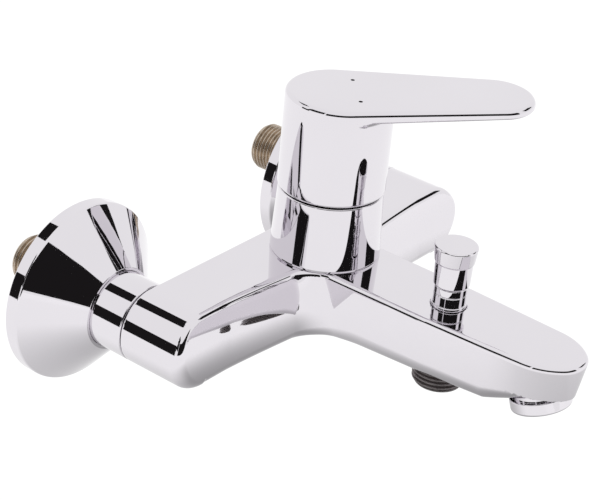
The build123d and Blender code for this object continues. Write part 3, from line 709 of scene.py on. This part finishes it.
@dataclass(frozen=True)
class Casting:
    """The one-piece brass casting: two wings, the spout, the cartridge neck and their mouths.

    Sizes are in millimetres. Depths are distances from the wall.
    """

    inlet: float = field(default_factory=lambda: middle("union_nut_right").x / MM)
    radius: float = 15.5
    back: float = field(default_factory=lambda: reach_of("body_casting")[0])
    front: float = 69.35
    front_bow: float = 55.0
    front_bow_height: float = -6.0
    gusset: float = 3.4
    gusset_reach: float = 62.0
    gusset_round: float = 10.0
    spout_width: float = 17.2
    spout_taper: float = 0.04
    spout_taper_start: float = 125.0
    tip_start: float = 165.0
    tip_radius: float = 22.6
    tip_offset: float = 7.0
    spout_root: float = -13.6
    spout_rise: float = 0.047
    outlet_corner: float = 150.8
    outlet_rise: float = 0.364
    top_round: float = 2.1
    low_round: float = 5.0
    spout_round: float = 3.6
    handle: float = field(default_factory=lambda: -middle("dome_cover").y / MM)
    neck_radius: float = 19.1
    neck_height: float = 38.5
    cartridge_bore: float = 17.45
    seat_height: float = 4.0
    mouth_bore: float = 18.25
    mouth_height: float = 33.0
    tail_bore: float = 10.05
    tail_depth: float = 10.0
    bonnet_bore: float = 6.85
    bonnet_floor: float = 10.5
    outlet_bore: float = 9.25
    outlet_roof: float = -7.0
    spot_face: float = 10.68
    spot_height: float = -11.0
    aerator_bore: float = 10.05
    aerator_depth: float = 7.5
    tip_blend: float = 6.0
    gusset_width: float = 38.0
    gusset_limit: float = 1.2
    gusset_power: float = 1.3
    nose: tuple[float, float] = (150.0, 180.0)
    lean: float = 0.035
    nose_lean: float = 0.17
    spout_datum: float = 80.0
    root_zone: tuple[float, float] = (60.0, 82.0)
    low_zone: tuple[float, float] = (-9.0, 6.0)
    spout_zone: tuple[float, float] = (72.0, 95.0)
    back_round: float = 0.8
    clear: float = 60.0
    step: float = 0.66

    def plan_of_spout(self, across: Array, depth: Array) -> Array:
        """Distance to the spout's outline seen from above.

        Args:
            across: Places to the right, in millimetres.
            depth: Distances from the wall.

        Returns:
            One distance per point.
        """
        half = self.spout_width - self.spout_taper * np.maximum(depth - self.spout_taper_start, 0.0)
        side = np.abs(across) - half
        arc_left = np.hypot(across - self.tip_offset, depth - self.tip_start) - self.tip_radius
        arc_right = np.hypot(across + self.tip_offset, depth - self.tip_start) - self.tip_radius
        return np.where(depth > self.tip_start, meet(arc_left, arc_right, self.tip_blend), side)

    def walls(self, x: Array, depth: Array, z: Array) -> Array:
        """Distance to the upright walls: front of the wings, gusset and sides of the spout.

        Args:
            x: Places to the right, in millimetres.
            depth: Distances from the wall.
            z: Heights.

        Returns:
            One distance per point.
        """
        bow = (z - self.front_bow_height) ** 2 / (2 * self.front_bow)
        share = np.clip((self.gusset_reach - np.abs(x)) / self.gusset_width, 0.0, self.gusset_limit)
        swell = self.gusset * share**self.gusset_power
        front = depth - (self.front - bow + swell)
        lean = (self.lean + self.nose_lean * ease(depth, *self.nose)) * (self.radius - z)
        return join(front, self.plan_of_spout(x, depth) + lean, self.gusset_round)

    def underside(self, depth: Array) -> Array:
        """Height of the underside at a distance from the wall.

        Args:
            depth: Distances from the wall, in millimetres.

        Returns:
            One height per distance.
        """
        level = self.spout_root + self.spout_rise * (depth - self.spout_datum)
        at_corner = self.spout_root + self.spout_rise * (self.outlet_corner - self.spout_datum)
        rising = at_corner + self.outlet_rise * (depth - self.outlet_corner)
        spout = meet(level, rising, 0.01)
        blend = ease(depth, *self.root_zone)
        return -self.radius * (1.0 - blend) + spout * blend

    def distance(self, points: Array) -> Array:
        """Distance to the casting, negative inside, at points in millimetres.

        Args:
            points: One row of x, y and z per point.

        Returns:
            One distance per point.
        """
        x, depth, z = points[:, 0], -points[:, 1], points[:, 2]
        past = np.abs(x) - self.inlet
        ends = np.hypot(np.maximum(past, 0.0), z) - self.radius
        ceiling = np.where(past > 0.0, ends, z - self.radius)
        floor = np.where(past > 0.0, ends, (self.underside(depth) - z) * 0.97)
        levels = np.where(z > 0.0, ceiling, floor)
        walls = self.walls(x, depth, z)
        low = ease(-z, *self.low_zone)
        spout = ease(depth, *self.spout_zone)
        rounding = self.top_round + low * (self.low_round + self.spout_round * spout - self.top_round)
        solid = meet(walls, levels, rounding)
        solid = meet(solid, self.back - depth, self.back_round)
        from_axis = np.hypot(x, depth - self.handle)
        solid = np.minimum(solid, rod(from_axis, z, self.neck_radius, 0.0, self.neck_height))
        solid = cut(solid, rod(from_axis, z, self.cartridge_bore, self.seat_height, self.clear))
        solid = cut(solid, rod(from_axis, z, self.mouth_bore, self.mouth_height, self.clear))
        from_inlet = np.hypot(past, z)
        solid = cut(solid, rod(from_inlet, depth, self.tail_bore, 0.0, self.back + self.tail_depth))
        from_pull = np.hypot(x, depth + middle("diverter_knob").y / MM)
        solid = cut(solid, rod(from_pull, z, self.bonnet_bore, self.bonnet_floor, self.clear))
        solid = cut(solid, rod(from_pull, z, self.outlet_bore, -self.clear, self.outlet_roof))
        solid = cut(solid, rod(from_pull, z, self.spot_face, -self.clear, self.spot_height))
        return cut(solid, self.outlet_hole(points))

    def outlet_hole(self, points: Array) -> Array:
        """Distance to the threaded hole of the aerator.

        Args:
            points: One row of x, y and z per point, in millimetres.

        Returns:
            One distance per point.
        """
        aerator = Aerator()
        shift = points - np.array(aerator.seat) / MM
        along = shift @ np.array(aerator.jet)
        across = np.linalg.norm(shift - along[:, None] * np.array(aerator.jet), axis=1)
        return rod(across, along, self.aerator_bore, -self.aerator_depth, self.clear)

    def build(self) -> None:
        """Make the casting's visible skin."""
        piece = skin("body_shell", self.distance, "body_casting", self.step)
        settle(piece, Body.TAP, Slot.CHROME, "body_casting")


@dataclass(frozen=True)
class WallConnection:
    """Eccentric union, escutcheon and union nut on one inlet. Sizes are in millimetres."""

    side: str
    lip: float = 5.5
    wall: float = 1.2
    nut_radius: float = 15.5
    hex_radius: float = 17.32
    thread_radius: float = 10.48
    thread_start: float = -9.0
    barrel_radius: float = 12.6

    @property
    def axis_point(self) -> tuple[float, float, float]:
        """Point where the inlet axis meets the wall."""
        centre = middle(f"union_nut_{self.side}")
        return (centre.x, 0.0, centre.z)

    def escutcheon(self) -> None:
        """Turn the escutcheon: an open cone with a straight lip and a rolled rim."""
        node = f"escutcheon_{self.side}"
        outer, end = radius_of(node), reach_of(node)[1]
        inner, bore = outer - self.wall, self.nut_radius + 0.05
        slope = (end - self.lip) / (outer - bore - self.wall)
        depth_inside = self.lip + slope * (outer - inner) - self.wall * math.hypot(1.0, slope)
        neck = bore + self.wall
        neck_inside = self.lip + slope * (outer - neck) - self.wall * math.hypot(1.0, slope)
        corners = (
            Corner(outer, 0.0, 0.5),
            Corner(outer, self.lip, 1.4),
            Corner(neck, end, 0.5),
            Corner(bore, end, 0.3),
            Corner(bore, end - 5.0, 0.3),
            Corner(neck, end - 5.0, 0.3),
            Corner(neck, neck_inside, 0.4),
            Corner(inner, depth_inside, 0.8),
            Corner(inner, 0.0, 0.4),
        )
        piece = Turned(corners, self.axis_point, (0.0, -1.0, 0.0), sides=160).build(f"{node}_shell")
        settle(piece, Body.TAP, Slot.CHROME, node)

    def nut(self) -> None:
        """Turn the smooth round union nut with its thin shadow groove by the casting."""
        node = f"union_nut_{self.side}"
        start, end = reach_of(node)
        corners = (
            Corner(self.nut_radius, start, 0.3),
            Corner(self.nut_radius, end, 0.6),
            Corner(10.2, end, 0.3),
            Corner(10.2, end - 3.6, 0.2),
            Corner(13.25, end - 3.6, 0.2),
            Corner(13.25, start, 0.3),
        )
        piece = Turned(corners, self.axis_point, (0.0, -1.0, 0.0)).build(f"{node}_shell")
        settle(piece, Body.TAP, Slot.CHROME, node)

    def union(self) -> None:
        """Build the eccentric union: hexagon, barrel, collar and a cut wall thread."""
        node = f"wall_union_{self.side}"
        end = -reach_of(node)[0]
        x, _, z = self.axis_point
        mount = next(m for m in frame["record"]["mounts"] if m["name"] == f"wall_thread_{self.side}")
        thread_x, _, thread_z = mount["pos_m"]
        bore = 7.4
        pipe = PipeThread(self.thread_radius, end + self.thread_start)
        thread = pipe.mesh(f"{node}_thread", Slot.NICKEL_BRASS)
        stand(thread, (thread_x, -self.thread_start * MM, thread_z), (0.0, 1.0, 0.0))
        mouth = Turned(
            (Corner(9.4, end - 0.4, 0.1), Corner(8.9, end, 0.3), Corner(bore, end, 0.4),
             Corner(bore, -2.0, 0.1), Corner(9.2, -2.0, 0.1)),
            (thread_x, 0.0, thread_z), (0.0, 1.0, 0.0)).mesh(f"{node}_mouth")
        barrel = Turned(
            (Corner(bore, -2.2, 0.1), Corner(self.barrel_radius, -2.2, 0.3),
             Corner(self.barrel_radius, -self.thread_start, 0.8), Corner(bore, -self.thread_start, 0.1)),
            ((x + thread_x) / 2, 0.0, (z + thread_z) / 2), (0.0, 1.0, 0.0)).mesh(f"{node}_barrel")
        hexagon = self.hexagon(f"{node}_hexagon", Vector((x, 0.0, z)))
        spigot = Turned(
            (Corner(bore, 9.8, 0.1), Corner(13.2, 9.8, 0.2),
             Corner(13.2, 29.0, 0.8), Corner(bore, 29.0, 0.4)),
            (x, 0.0, z), (0.0, -1.0, 0.0)).mesh(f"{node}_spigot")
        piece = weld(f"{node}_shell", (thread, mouth, barrel, hexagon, spigot))
        settle(piece, Body.TAP, Slot.NICKEL_BRASS, node)

    def hexagon(self, name: str, origin: Vector) -> bpy.types.Mesh:
        """Build the chamfered spanner hexagon between two distances from the wall."""
        flat, corner = self.hex_radius * math.cos(math.pi / 6), self.hex_radius
        sides, rows = 96, (2.0, 2.9, 9.1, 10.0)
        points, faces = [], []
        for row, depth in enumerate(rows):
            limit = corner if row in (1, 2) else flat + 0.3
            for s in range(sides):
                angle = 2 * math.pi * s / sides
                off = (angle % (math.pi / 3)) - math.pi / 6
                r = min(flat / math.cos(off), limit) * MM
                points.append((origin.x + r * math.sin(angle), -depth * MM, origin.z + r * math.cos(angle)))
        for row in range(len(rows) - 1):
            for s in range(sides):
                t = (s + 1) % sides
                faces.append((row * sides + s, row * sides + t, (row + 1) * sides + t, (row + 1) * sides + s))
        faces.append(tuple(range(sides))[::-1])
        faces.append(tuple((len(rows) - 1) * sides + s for s in range(sides)))
        mesh = bpy.data.meshes.new(name)
        mesh.from_pydata(points, [], faces)
        mesh.validate()
        outward = mesh.polygons[0].normal
        if outward.dot(Vector(points[0]) - origin) < 0:
            mesh.flip_normals()
        return mesh

    def build(self) -> None:
        """Make the visible pieces of this wall connection."""
        self.escutcheon()
        self.nut()
        self.union()


@dataclass(frozen=True)
class Cover:
    """The tapered sleeve between the casting and the handle. Sizes are in millimetres."""

    base_radius: float = 22.0
    top_radius: float = 20.8
    inner: float = 19.15
    hole: float = 12.0
    thickness: float = 1.5

    def build(self) -> None:
        """Turn the cover."""
        axis = middle("dome_cover")
        foot, top = foot_of("dome_cover"), top_of("dome_cover")
        corners = (
            Corner(self.inner, foot, 0.1),
            Corner(self.base_radius - 0.35, foot, 0.1),
            Corner(self.base_radius, foot + 0.9, 0.5),
            Corner(self.top_radius, top, 0.7),
            Corner(self.hole, top, 0.4),
            Corner(self.hole, top - self.thickness, 0.3),
            Corner(self.inner, top - self.thickness, 0.3),
        )
        piece = Turned(corners, (axis.x, axis.y, 0.0), sides=160).build("dome_cover_shell")
        settle(piece, Body.TAP, Slot.CHROME, "dome_cover")


@dataclass(frozen=True)
class Lever:
    """The one-piece handle: a hollow hub with a flat tapering lever. Sizes are in millimetres."""

    hub_radius: float = 21.3
    reach: float = 76.0
    tip_half_width: float = 15.4
    side_start: float = 3.0
    side_end: float = 66.0
    root_under: float = 79.0
    tip_under: float = 79.9
    tip_round: float = 14.0
    edge: float = 2.0
    plate_round: float = 0.9
    foot_round: float = 1.1
    under_round: float = 1.6
    wall: float = 2.7
    ceiling: float = 75.5
    rim_wall: float = 0.9
    rim_depth: float = 3.0
    boss_radius: float = 7.4
    boss_lift: float = 5.4
    boss_top: float = 77.0
    socket_half: float = 4.05
    socket_top: float = 65.0
    screw_bore: float = 2.65
    screw_reach: tuple[float, float] = (9.0, 40.0)
    step: float = 0.5

    @property
    def heading(self) -> Array:
        """Direction of the lever at rest, from the slide of the disc that follows it."""
        joint = next(j for j in frame["joints"] if j["name"] == "disc_shift")
        return np.array(joint["axis"], dtype=float)

    def distance(self, points: Array) -> Array:
        """Distance to the handle, negative inside, at points in millimetres.

        Args:
            points: One row of x, y and z per point.

        Returns:
            One distance per point.
        """
        axis = middle("dome_cover") / MM
        x, y, z = points[:, 0] - axis.x, points[:, 1] - axis.y, points[:, 2]
        ahead = x * self.heading[0] + y * self.heading[1]
        aside = -x * self.heading[1] + y * self.heading[0]
        foot, top = foot_of("lever_handle"), top_of("lever_handle")
        from_axis = np.hypot(x, y)
        root = math.sqrt(self.hub_radius**2 - self.side_start**2)
        taper = (root - self.tip_half_width) / (self.side_end - self.side_start)
        side = (np.abs(aside) - root + taper * (ahead - self.side_start)) / math.hypot(1.0, taper)
        blade = meet(side, ahead - self.reach, self.tip_round)
        blade = np.maximum(blade, self.side_start - ahead)
        hub = from_axis - self.hub_radius
        slope = (self.tip_under - self.root_under) / (self.reach - self.hub_radius)
        under = self.root_under + slope * (ahead - self.hub_radius) - z
        plan = np.minimum(blade, hub)
        plate = meet(plan, under, self.plate_round)
        body = join(plate, meet(hub, foot - z, self.foot_round), self.under_round)
        body = np.maximum(body, plan)
        body = meet(body, z - top, self.edge)
        hollow = rod(from_axis, z, self.hub_radius - self.wall, 0.0, self.ceiling)
        rim = rod(from_axis, z, self.hub_radius - self.rim_wall, 0.0, foot + self.rim_depth)
        body = cut(cut(body, hollow), rim)
        boss = rod(from_axis, z, self.boss_radius, foot + self.boss_lift, self.boss_top)
        square = np.maximum(np.abs(ahead), np.abs(aside)) - self.socket_half
        socket = np.maximum(square, z - self.socket_top)
        body = np.minimum(body, cut(boss, socket))
        from_screw = np.hypot(aside, z - middle("grub_screw").z / MM)
        return cut(body, rod(from_screw, ahead, self.screw_bore, *self.screw_reach))

    def build(self) -> None:
        """Make the handle's visible skin."""
        piece = skin("lever_shell", self.distance, "lever_handle", self.step)
        settle(piece, Body.LEVER, Slot.CHROME, "lever_handle")


@dataclass(frozen=True)
class Diverter:
    """The pull knob and the bonnet that it slides in. Sizes are in millimetres."""

    stem: float = 2.0
    foot_radius: float = 7.05
    waist_radius: float = 7.35
    crown_radius: float = 8.5
    waist_height: float = 34.2
    bonnet_radius: float = 6.4
    flange_radius: float = 6.9

    def build(self) -> None:
        """Turn the knob and its bonnet."""
        axis = middle("diverter_knob")
        foot, top = foot_of("diverter_knob"), top_of("diverter_knob")
        knob = (
            Corner(self.stem, foot, 0.1),
            Corner(self.foot_radius, foot, 0.5),
            Corner(self.waist_radius, self.waist_height, 2.0),
            Corner(self.waist_radius + 0.45, self.waist_height + 0.5, 0.4),
            Corner(self.crown_radius, top - 0.5, 1.2),
            Corner(self.crown_radius - 0.4, top, 0.4),
            Corner(0.0, top),
            Corner(0.0, self.waist_height),
            Corner(self.stem, self.waist_height, 0.1),
        )
        piece = Turned(knob, (axis.x, axis.y, 0.0)).build("diverter_knob_shell")
        settle(piece, Body.DIVERTER, Slot.CHROME, "diverter_knob")
        low, high = foot_of("diverter_bonnet"), top_of("diverter_bonnet")
        bonnet = (
            Corner(self.stem + 0.05, low, 0.1),
            Corner(6.8, low, 0.3),
            Corner(6.8, 15.5, 0.05),
            Corner(self.flange_radius, 15.5, 0.05),
            Corner(self.flange_radius, 16.5, 0.35),
            Corner(self.bonnet_radius, 16.6, 0.2),
            Corner(self.bonnet_radius, 20.6, 0.2),
            Corner(self.bonnet_radius - 0.35, 20.9, 0.15),
            Corner(self.bonnet_radius, 21.2, 0.2),
            Corner(self.bonnet_radius, high, 0.5),
            Corner(self.stem + 0.05, high, 0.2),
        )
        piece = Turned(bonnet, (axis.x, axis.y, 0.0)).build("diverter_bonnet_shell")
        settle(piece, Body.TAP, Slot.CHROME, "diverter_bonnet")


@dataclass(frozen=True)
class ShowerOutlet:
    """The dark threaded nipple under the spout. Sizes are in millimetres."""

    radius: float = 10.48
    screw_radius: float = 9.2
    shoulder: float = -11.0
    seat: float = 5.4
    bore: float = 7.3

    def build(self) -> None:
        """Build the nipple with its cut thread pointing down."""
        axis = middle("shower_outlet_nipple")
        top, foot = top_of("shower_outlet_nipple"), foot_of("shower_outlet_nipple")
        thread = PipeThread(self.radius, self.shoulder - foot).mesh("shower_thread", Slot.DARK_NICKEL)
        stand(thread, (axis.x, axis.y, self.shoulder * MM), (0.0, 0.0, -1.0))
        core = Turned(
            (Corner(self.seat, -9.2, 0.1), Corner(self.bore, -9.2, 0.1), Corner(self.bore, foot, 0.4),
             Corner(9.0, foot, 0.3), Corner(9.3, foot + 0.4, 0.1), Corner(9.25, self.shoulder, 0.1),
             Corner(self.screw_radius, self.shoulder, 0.1), Corner(self.screw_radius, top, 0.5),
             Corner(self.seat, top, 0.3)),
            (axis.x, axis.y, 0.0)).mesh("shower_core")
        piece = weld("shower_nipple_shell", (thread, core))
        settle(piece, Body.TAP, Slot.DARK_NICKEL, "shower_outlet_nipple")


@dataclass(frozen=True)
class Spring:
    """A round wire compression spring. Sizes are in millimetres.

    Args:
        node: CAD node that it stands for.
        joint: Joint that presses it. Not used.
        held_high: Whether its fixed end is the upper one. Not used.
        turns: Number of coils.
        wire: Radius of the wire.
    """

    node: str
    joint: str
    held_high: bool
    turns: float
    wire: float = 0.35
    steps: int = 48
    section: int = 10

    def mesh(self) -> bpy.types.Mesh:
        """Sweep the wire along its helix, with closed ends."""
        low, high, radius = foot_of(self.node), top_of(self.node), radius_of(self.node) - self.wire
        centre = middle(self.node) / MM
        count = int(self.turns * self.steps) + 1
        angles = np.linspace(0.0, 2 * math.pi * self.turns, count)
        rise = (high - low - 2 * self.wire) / angles[-1]
        lean = math.atan2(rise, radius)
        points = []
        for angle in angles:
            out = np.array((math.cos(angle), math.sin(angle), 0.0))
            flat = math.sin(lean)
            up = np.array((math.sin(angle) * flat, -math.cos(angle) * flat, math.cos(lean)))
            heart = np.array((centre.x, centre.y, low + self.wire + rise * angle)) + radius * out
            for k in range(self.section):
                turn = 2 * math.pi * k / self.section
                points.append((heart + self.wire * (math.cos(turn) * out + math.sin(turn) * up)) * MM)
        faces = []
        for ring in range(count - 1):
            for k in range(self.section):
                a, b = ring * self.section + k, ring * self.section + (k + 1) % self.section
                faces.append((b, a, a + self.section, b + self.section))
        faces.append(tuple(range(self.section)))
        faces.append(tuple((count - 1) * self.section + k for k in reversed(range(self.section))))
        mesh = bpy.data.meshes.new(f"{self.node}_coil")
        mesh.from_pydata(points, [], faces)
        mesh.shade_smooth()
        return mesh

    def build(self) -> None:
        """Put the spring in place and give it a mesh of its own."""
        piece = add_object(f"{self.node}_coil", self.mesh())
        settle(piece, Body.TAP, Slot.STEEL, self.node)
        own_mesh(piece)


@dataclass(frozen=True)
class Aerator:
    """The aerator ring and its gauze, tilted away from the wall. Sizes are in millimetres."""

    tilt: float = 20.0
    depth: float = 168.5
    seat_height: float = -3.96
    radius: float = 11.7
    length: float = 5.0
    bore: float = 8.8
    lip: float = 1.2

    @property
    def jet(self) -> tuple[float, float, float]:
        """Direction of the water."""
        turn = math.radians(self.tilt)
        return (0.0, -math.sin(turn), -math.cos(turn))

    @property
    def seat(self) -> tuple[float, float, float]:
        """Centre of the aerator's shoulder, in metres."""
        return (0.0, -self.depth * MM, self.seat_height * MM)

    def build(self) -> None:
        """Turn the ring and put the gauze in its mouth."""
        mouth = self.bore - self.lip
        corners = (
            Corner(self.bore, -6.0, 0.2),
            Corner(10.0, -6.0, 0.4),
            Corner(10.0, 0.0, 0.1),
            Corner(self.radius, 0.0, 0.35),
            Corner(self.radius, self.length, 1.1),
            Corner(mouth + 0.9, self.length, 0.5),
            Corner(mouth, self.length - 0.7, 0.4),
            Corner(mouth, self.length - self.lip, 0.2),
            Corner(self.bore, self.length - self.lip, 0.2),
        )
        ring = Turned(corners, self.seat, self.jet).build("aerator_ring_shell")
        settle(ring, Body.TAP, Slot.CHROME, "aerator_housing")
        gauze = Gauze(mouth + 0.2).mesh("aerator_gauze", Slot.STEEL)
        out = Vector(self.seat) + Vector(self.jet) * (self.length - self.lip + 0.2) * MM
        piece = add_object("aerator_gauze", stand(gauze, out, self.jet))
        settle(piece, Body.TAP, Slot.STEEL)


# ------------------------------------------------------------------ studio


def reflected(name: str, mesh: bpy.types.Mesh) -> bpy.types.NodeTree:
    """Add a stage panel that only the polished metal sees.

    Args:
        name: Name of the panel and its material.
        mesh: Its mesh.

    Returns:
        The node tree of its material, empty but for the output.
    """
    panel = add_object(name, mesh)
    paint = bpy.data.materials.new(name)
    paint.use_nodes = True
    paint.node_tree.nodes.remove(paint.node_tree.nodes["Principled BSDF"])
    panel.data.materials.append(paint)
    panel.visible_camera = False
    panel.visible_diffuse = False
    panel.visible_shadow = False
    return paint.node_tree


@dataclass(frozen=True)
class Flag:
    """A dark studio panel, seen only in the polished metal.

    Args:
        azimuth: Its two side edges in degrees, 0 straight in front and 90 to the right.
        elevation: Its lower and upper edges in degrees.
        shade: Brightness of the panel.
        tint: Red, green and blue shares of the brightness.
        distance: How far it stands, in metres.
        middle: How far in front of the wall its sphere is centred, in metres.
        steps: Facets along each edge.
    """

    azimuth: tuple[float, float]
    elevation: tuple[float, float]
    shade: float = 0.012
    tint: tuple[float, float, float] = (1.0, 0.9, 0.95)
    distance: float = 1.6
    middle: float = 0.07
    steps: int = 16

    def build(self, name: str) -> None:
        """Hang the panel as a piece of a sphere round the tap.

        Args:
            name: Name of the panel.
        """
        steps = self.steps
        points, faces = [], []
        for i in range(steps + 1):
            e = math.radians(self.elevation[0] + (self.elevation[1] - self.elevation[0]) * i / steps)
            for j in range(steps + 1):
                a = math.radians(self.azimuth[0] + (self.azimuth[1] - self.azimuth[0]) * j / steps)
                points.append((self.distance * math.sin(a) * math.cos(e),
                               -self.distance * math.cos(a) * math.cos(e) - self.middle,
                               self.distance * math.sin(e)))
        for i in range(steps):
            for j in range(steps):
                k = i * (steps + 1) + j
                faces.append((k, k + 1, k + steps + 2, k + steps + 1))
        mesh = bpy.data.meshes.new(name)
        mesh.from_pydata(points, [], faces)
        tree = reflected(name, mesh)
        glow = tree.nodes.new("ShaderNodeEmission")
        glow.inputs["Color"].default_value = (*(self.shade * tint for tint in self.tint), 1.0)
        tree.links.new(glow.outputs[0], tree.nodes["Material Output"].inputs["Surface"])


@dataclass(frozen=True)
class Studio:
    """White cyclorama, soft light, dark flags and the camera."""

    floor_height: float = -0.16
    floor_radius: float = 4.0
    floor_base: float = 0.06
    floor_roughness: float = 0.9
    floor_glow: float = 0.97
    shade_lift: float = 0.002
    lamp_power: float = 9.0
    lamp_size: float = 2.5
    lamp_height: float = 1.6
    target: tuple[float, float, float] = (-0.01391, -0.0622, 0.01856)
    azimuth: float = -53.99
    elevation: float = 28.6
    roll: float = 5.6
    distance: float = 0.72882
    lens: float = 111.8
    flags: tuple[Flag, ...] = (
        Flag((-80.0, 18.0), (0.0, 37.0)),
        Flag((-120.0, -84.0), (12.0, 46.0)),
        Flag((-133.0, -115.0), (-9.0, 16.5)),
        Flag((-182.0, -152.0), (46.0, 58.0)),
        Flag((40.0, 72.0), (18.0, 38.0)),
    )

    def floor(self) -> None:
        """Lay the pale floor."""
        bpy.ops.mesh.primitive_circle_add(vertices=96, radius=self.floor_radius, fill_type="NGON",
                                          location=(0.0, 0.0, self.floor_height))
        ground = bpy.context.object
        ground.name = "floor"
        paint = bpy.data.materials.new("floor")
        paint.use_nodes = True
        shader = paint.node_tree.nodes["Principled BSDF"]
        shader.inputs["Base Color"].default_value = (*(self.floor_base,) * 3, 1.0)
        shader.inputs["Roughness"].default_value = self.floor_roughness
        shader.inputs["Emission Color"].default_value = (1.0, 1.0, 1.0, 1.0)
        shader.inputs["Emission Strength"].default_value = self.floor_glow
        ground.data.materials.append(paint)

    def light(self) -> None:
        """Set the even white surround and one large soft lamp overhead."""
        world = bpy.data.worlds.new("surround")
        bpy.context.scene.world = world
        world.use_nodes = True
        world.node_tree.nodes["Background"].inputs["Color"].default_value = (1.0, 1.0, 1.0, 1.0)
        world.node_tree.nodes["Background"].inputs["Strength"].default_value = 1.0
        lamp = bpy.data.lights.new("overhead", "AREA")
        lamp.energy, lamp.size = self.lamp_power, self.lamp_size
        hung = bpy.data.objects.new("overhead", lamp)
        hung.location = (0.0, 0.0, self.lamp_height)
        hung.visible_glossy = False
        bpy.context.scene.collection.objects.link(hung)
        bpy.context.scene.view_settings.view_transform = "Standard"

    def camera(self) -> None:
        """Set up the camera."""
        a, e, r = (math.radians(v) for v in (self.azimuth, self.elevation, self.roll))
        back = Vector((math.sin(a) * math.cos(e), -math.cos(a) * math.cos(e), math.sin(e)))
        level = (-back).cross(Vector((0.0, 0.0, 1.0))).normalized()
        upright = level.cross(-back).normalized()
        right = math.cos(r) * level + math.sin(r) * upright
        up = -math.sin(r) * level + math.cos(r) * upright
        lens = bpy.data.cameras.new("camera")
        lens.lens, lens.sensor_width = self.lens, 36.0
        lens.clip_start, lens.clip_end = 0.01, 50.0
        camera = bpy.data.objects.new("camera", lens)
        turn = Matrix((right, up, back)).transposed().to_4x4()
        camera.matrix_world = Matrix.Translation(Vector(self.target) + back * self.distance) @ turn
        bpy.context.scene.collection.objects.link(camera)
        bpy.context.scene.camera = camera

    def build(self) -> None:
        """Set the whole stage."""
        self.camera()
        self.light()
        self.floor()
        for number, flag in enumerate(self.flags):
            flag.build(f"flag_{number}")
        FloorShade().build(self.floor_height + self.shade_lift)


@dataclass(frozen=True)
class FloorShade:
    """Soft dark pool on the floor, seen only in the polished metal.

    Args:
        centre: Middle of the pool, in metres.
        inner: Radius of its densest part.
        outer: Radius where it ends.
        dark: Brightness of the pool.
        density: How much of the floor it hides in the middle.
    """

    centre: tuple[float, float] = (0.05, -0.14)
    inner: float = 0.02
    outer: float = 0.34
    dark: float = 0.04
    density: float = 0.66

    def build(self, height: float) -> None:
        """Lay the pool just above the floor.

        Args:
            height: Height of the pool, in metres.
        """
        x, y = self.centre
        rings, sides = 2, 96
        turns = [2 * math.pi * s / sides for s in range(sides)]
        points = [(x, y, height)]
        for ring in range(1, rings + 1):
            reach = self.outer * ring / rings
            points += [(x + reach * math.cos(a), y + reach * math.sin(a), height) for a in turns]
        pairs = [(1 + s, 1 + (s + 1) % sides) for s in range(sides)]
        faces = [(0, i, j) for i, j in pairs]
        faces += [(i, i + sides, j + sides, j) for i, j in pairs]
        mesh = bpy.data.meshes.new("floor_shade")
        mesh.from_pydata(points, [], faces)
        tree = reflected("floor_shade", mesh)
        place = tree.nodes.new("ShaderNodeTexCoord")
        away = tree.nodes.new("ShaderNodeVectorMath")
        away.operation = "DISTANCE"
        away.inputs[1].default_value = (*self.centre, height)
        ramp = tree.nodes.new("ShaderNodeMapRange")
        ramp.interpolation_type = "SMOOTHSTEP"
        for side, value in (("From Min", self.inner), ("From Max", self.outer),
                            ("To Min", self.density), ("To Max", 0.0)):
            ramp.inputs[side].default_value = value
        glow = tree.nodes.new("ShaderNodeEmission")
        glow.inputs["Strength"].default_value = self.dark
        clear = tree.nodes.new("ShaderNodeBsdfTransparent")
        blend = tree.nodes.new("ShaderNodeMixShader")
        tree.links.new(place.outputs["Object"], away.inputs[0])
        tree.links.new(away.outputs["Value"], ramp.inputs["Value"])
        tree.links.new(ramp.outputs["Result"], blend.inputs["Fac"])
        tree.links.new(clear.outputs[0], blend.inputs[1])
        tree.links.new(glow.outputs[0], blend.inputs[2])
        tree.links.new(blend.outputs[0], tree.nodes["Material Output"].inputs["Surface"])


def dress_frame() -> None:
    """Give every CAD node that stays in view the finish of its slot."""
    for part in frame["record"]["subparts"]:
        node = frame["nodes"][part["node"]]
        finish = FINISHES[Slot(part["material_slot"])].material()
        for holder in node.material_slots:
            holder.material = finish
        log.info("%s dressed as %s", part["node"], part["material_slot"])


def main() -> None:
    """Build the looks in order."""
    logging.basicConfig(level=logging.INFO, format="%(message)s")
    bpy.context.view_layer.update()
    Studio().build()
    dress_frame()
    Casting().build()
    for side in ("left", "right"):
        WallConnection(side).build()
    Cover().build()
    Lever().build()
    Diverter().build()
    ShowerOutlet().build()
    Spring("diverter_spring", "diverter_pull", True, 5.0).build()
    Spring("check_valve_spring", "check_valve_open", False, 3.0).build()
    Aerator().build()


if __name__ == "__main__":
    main()
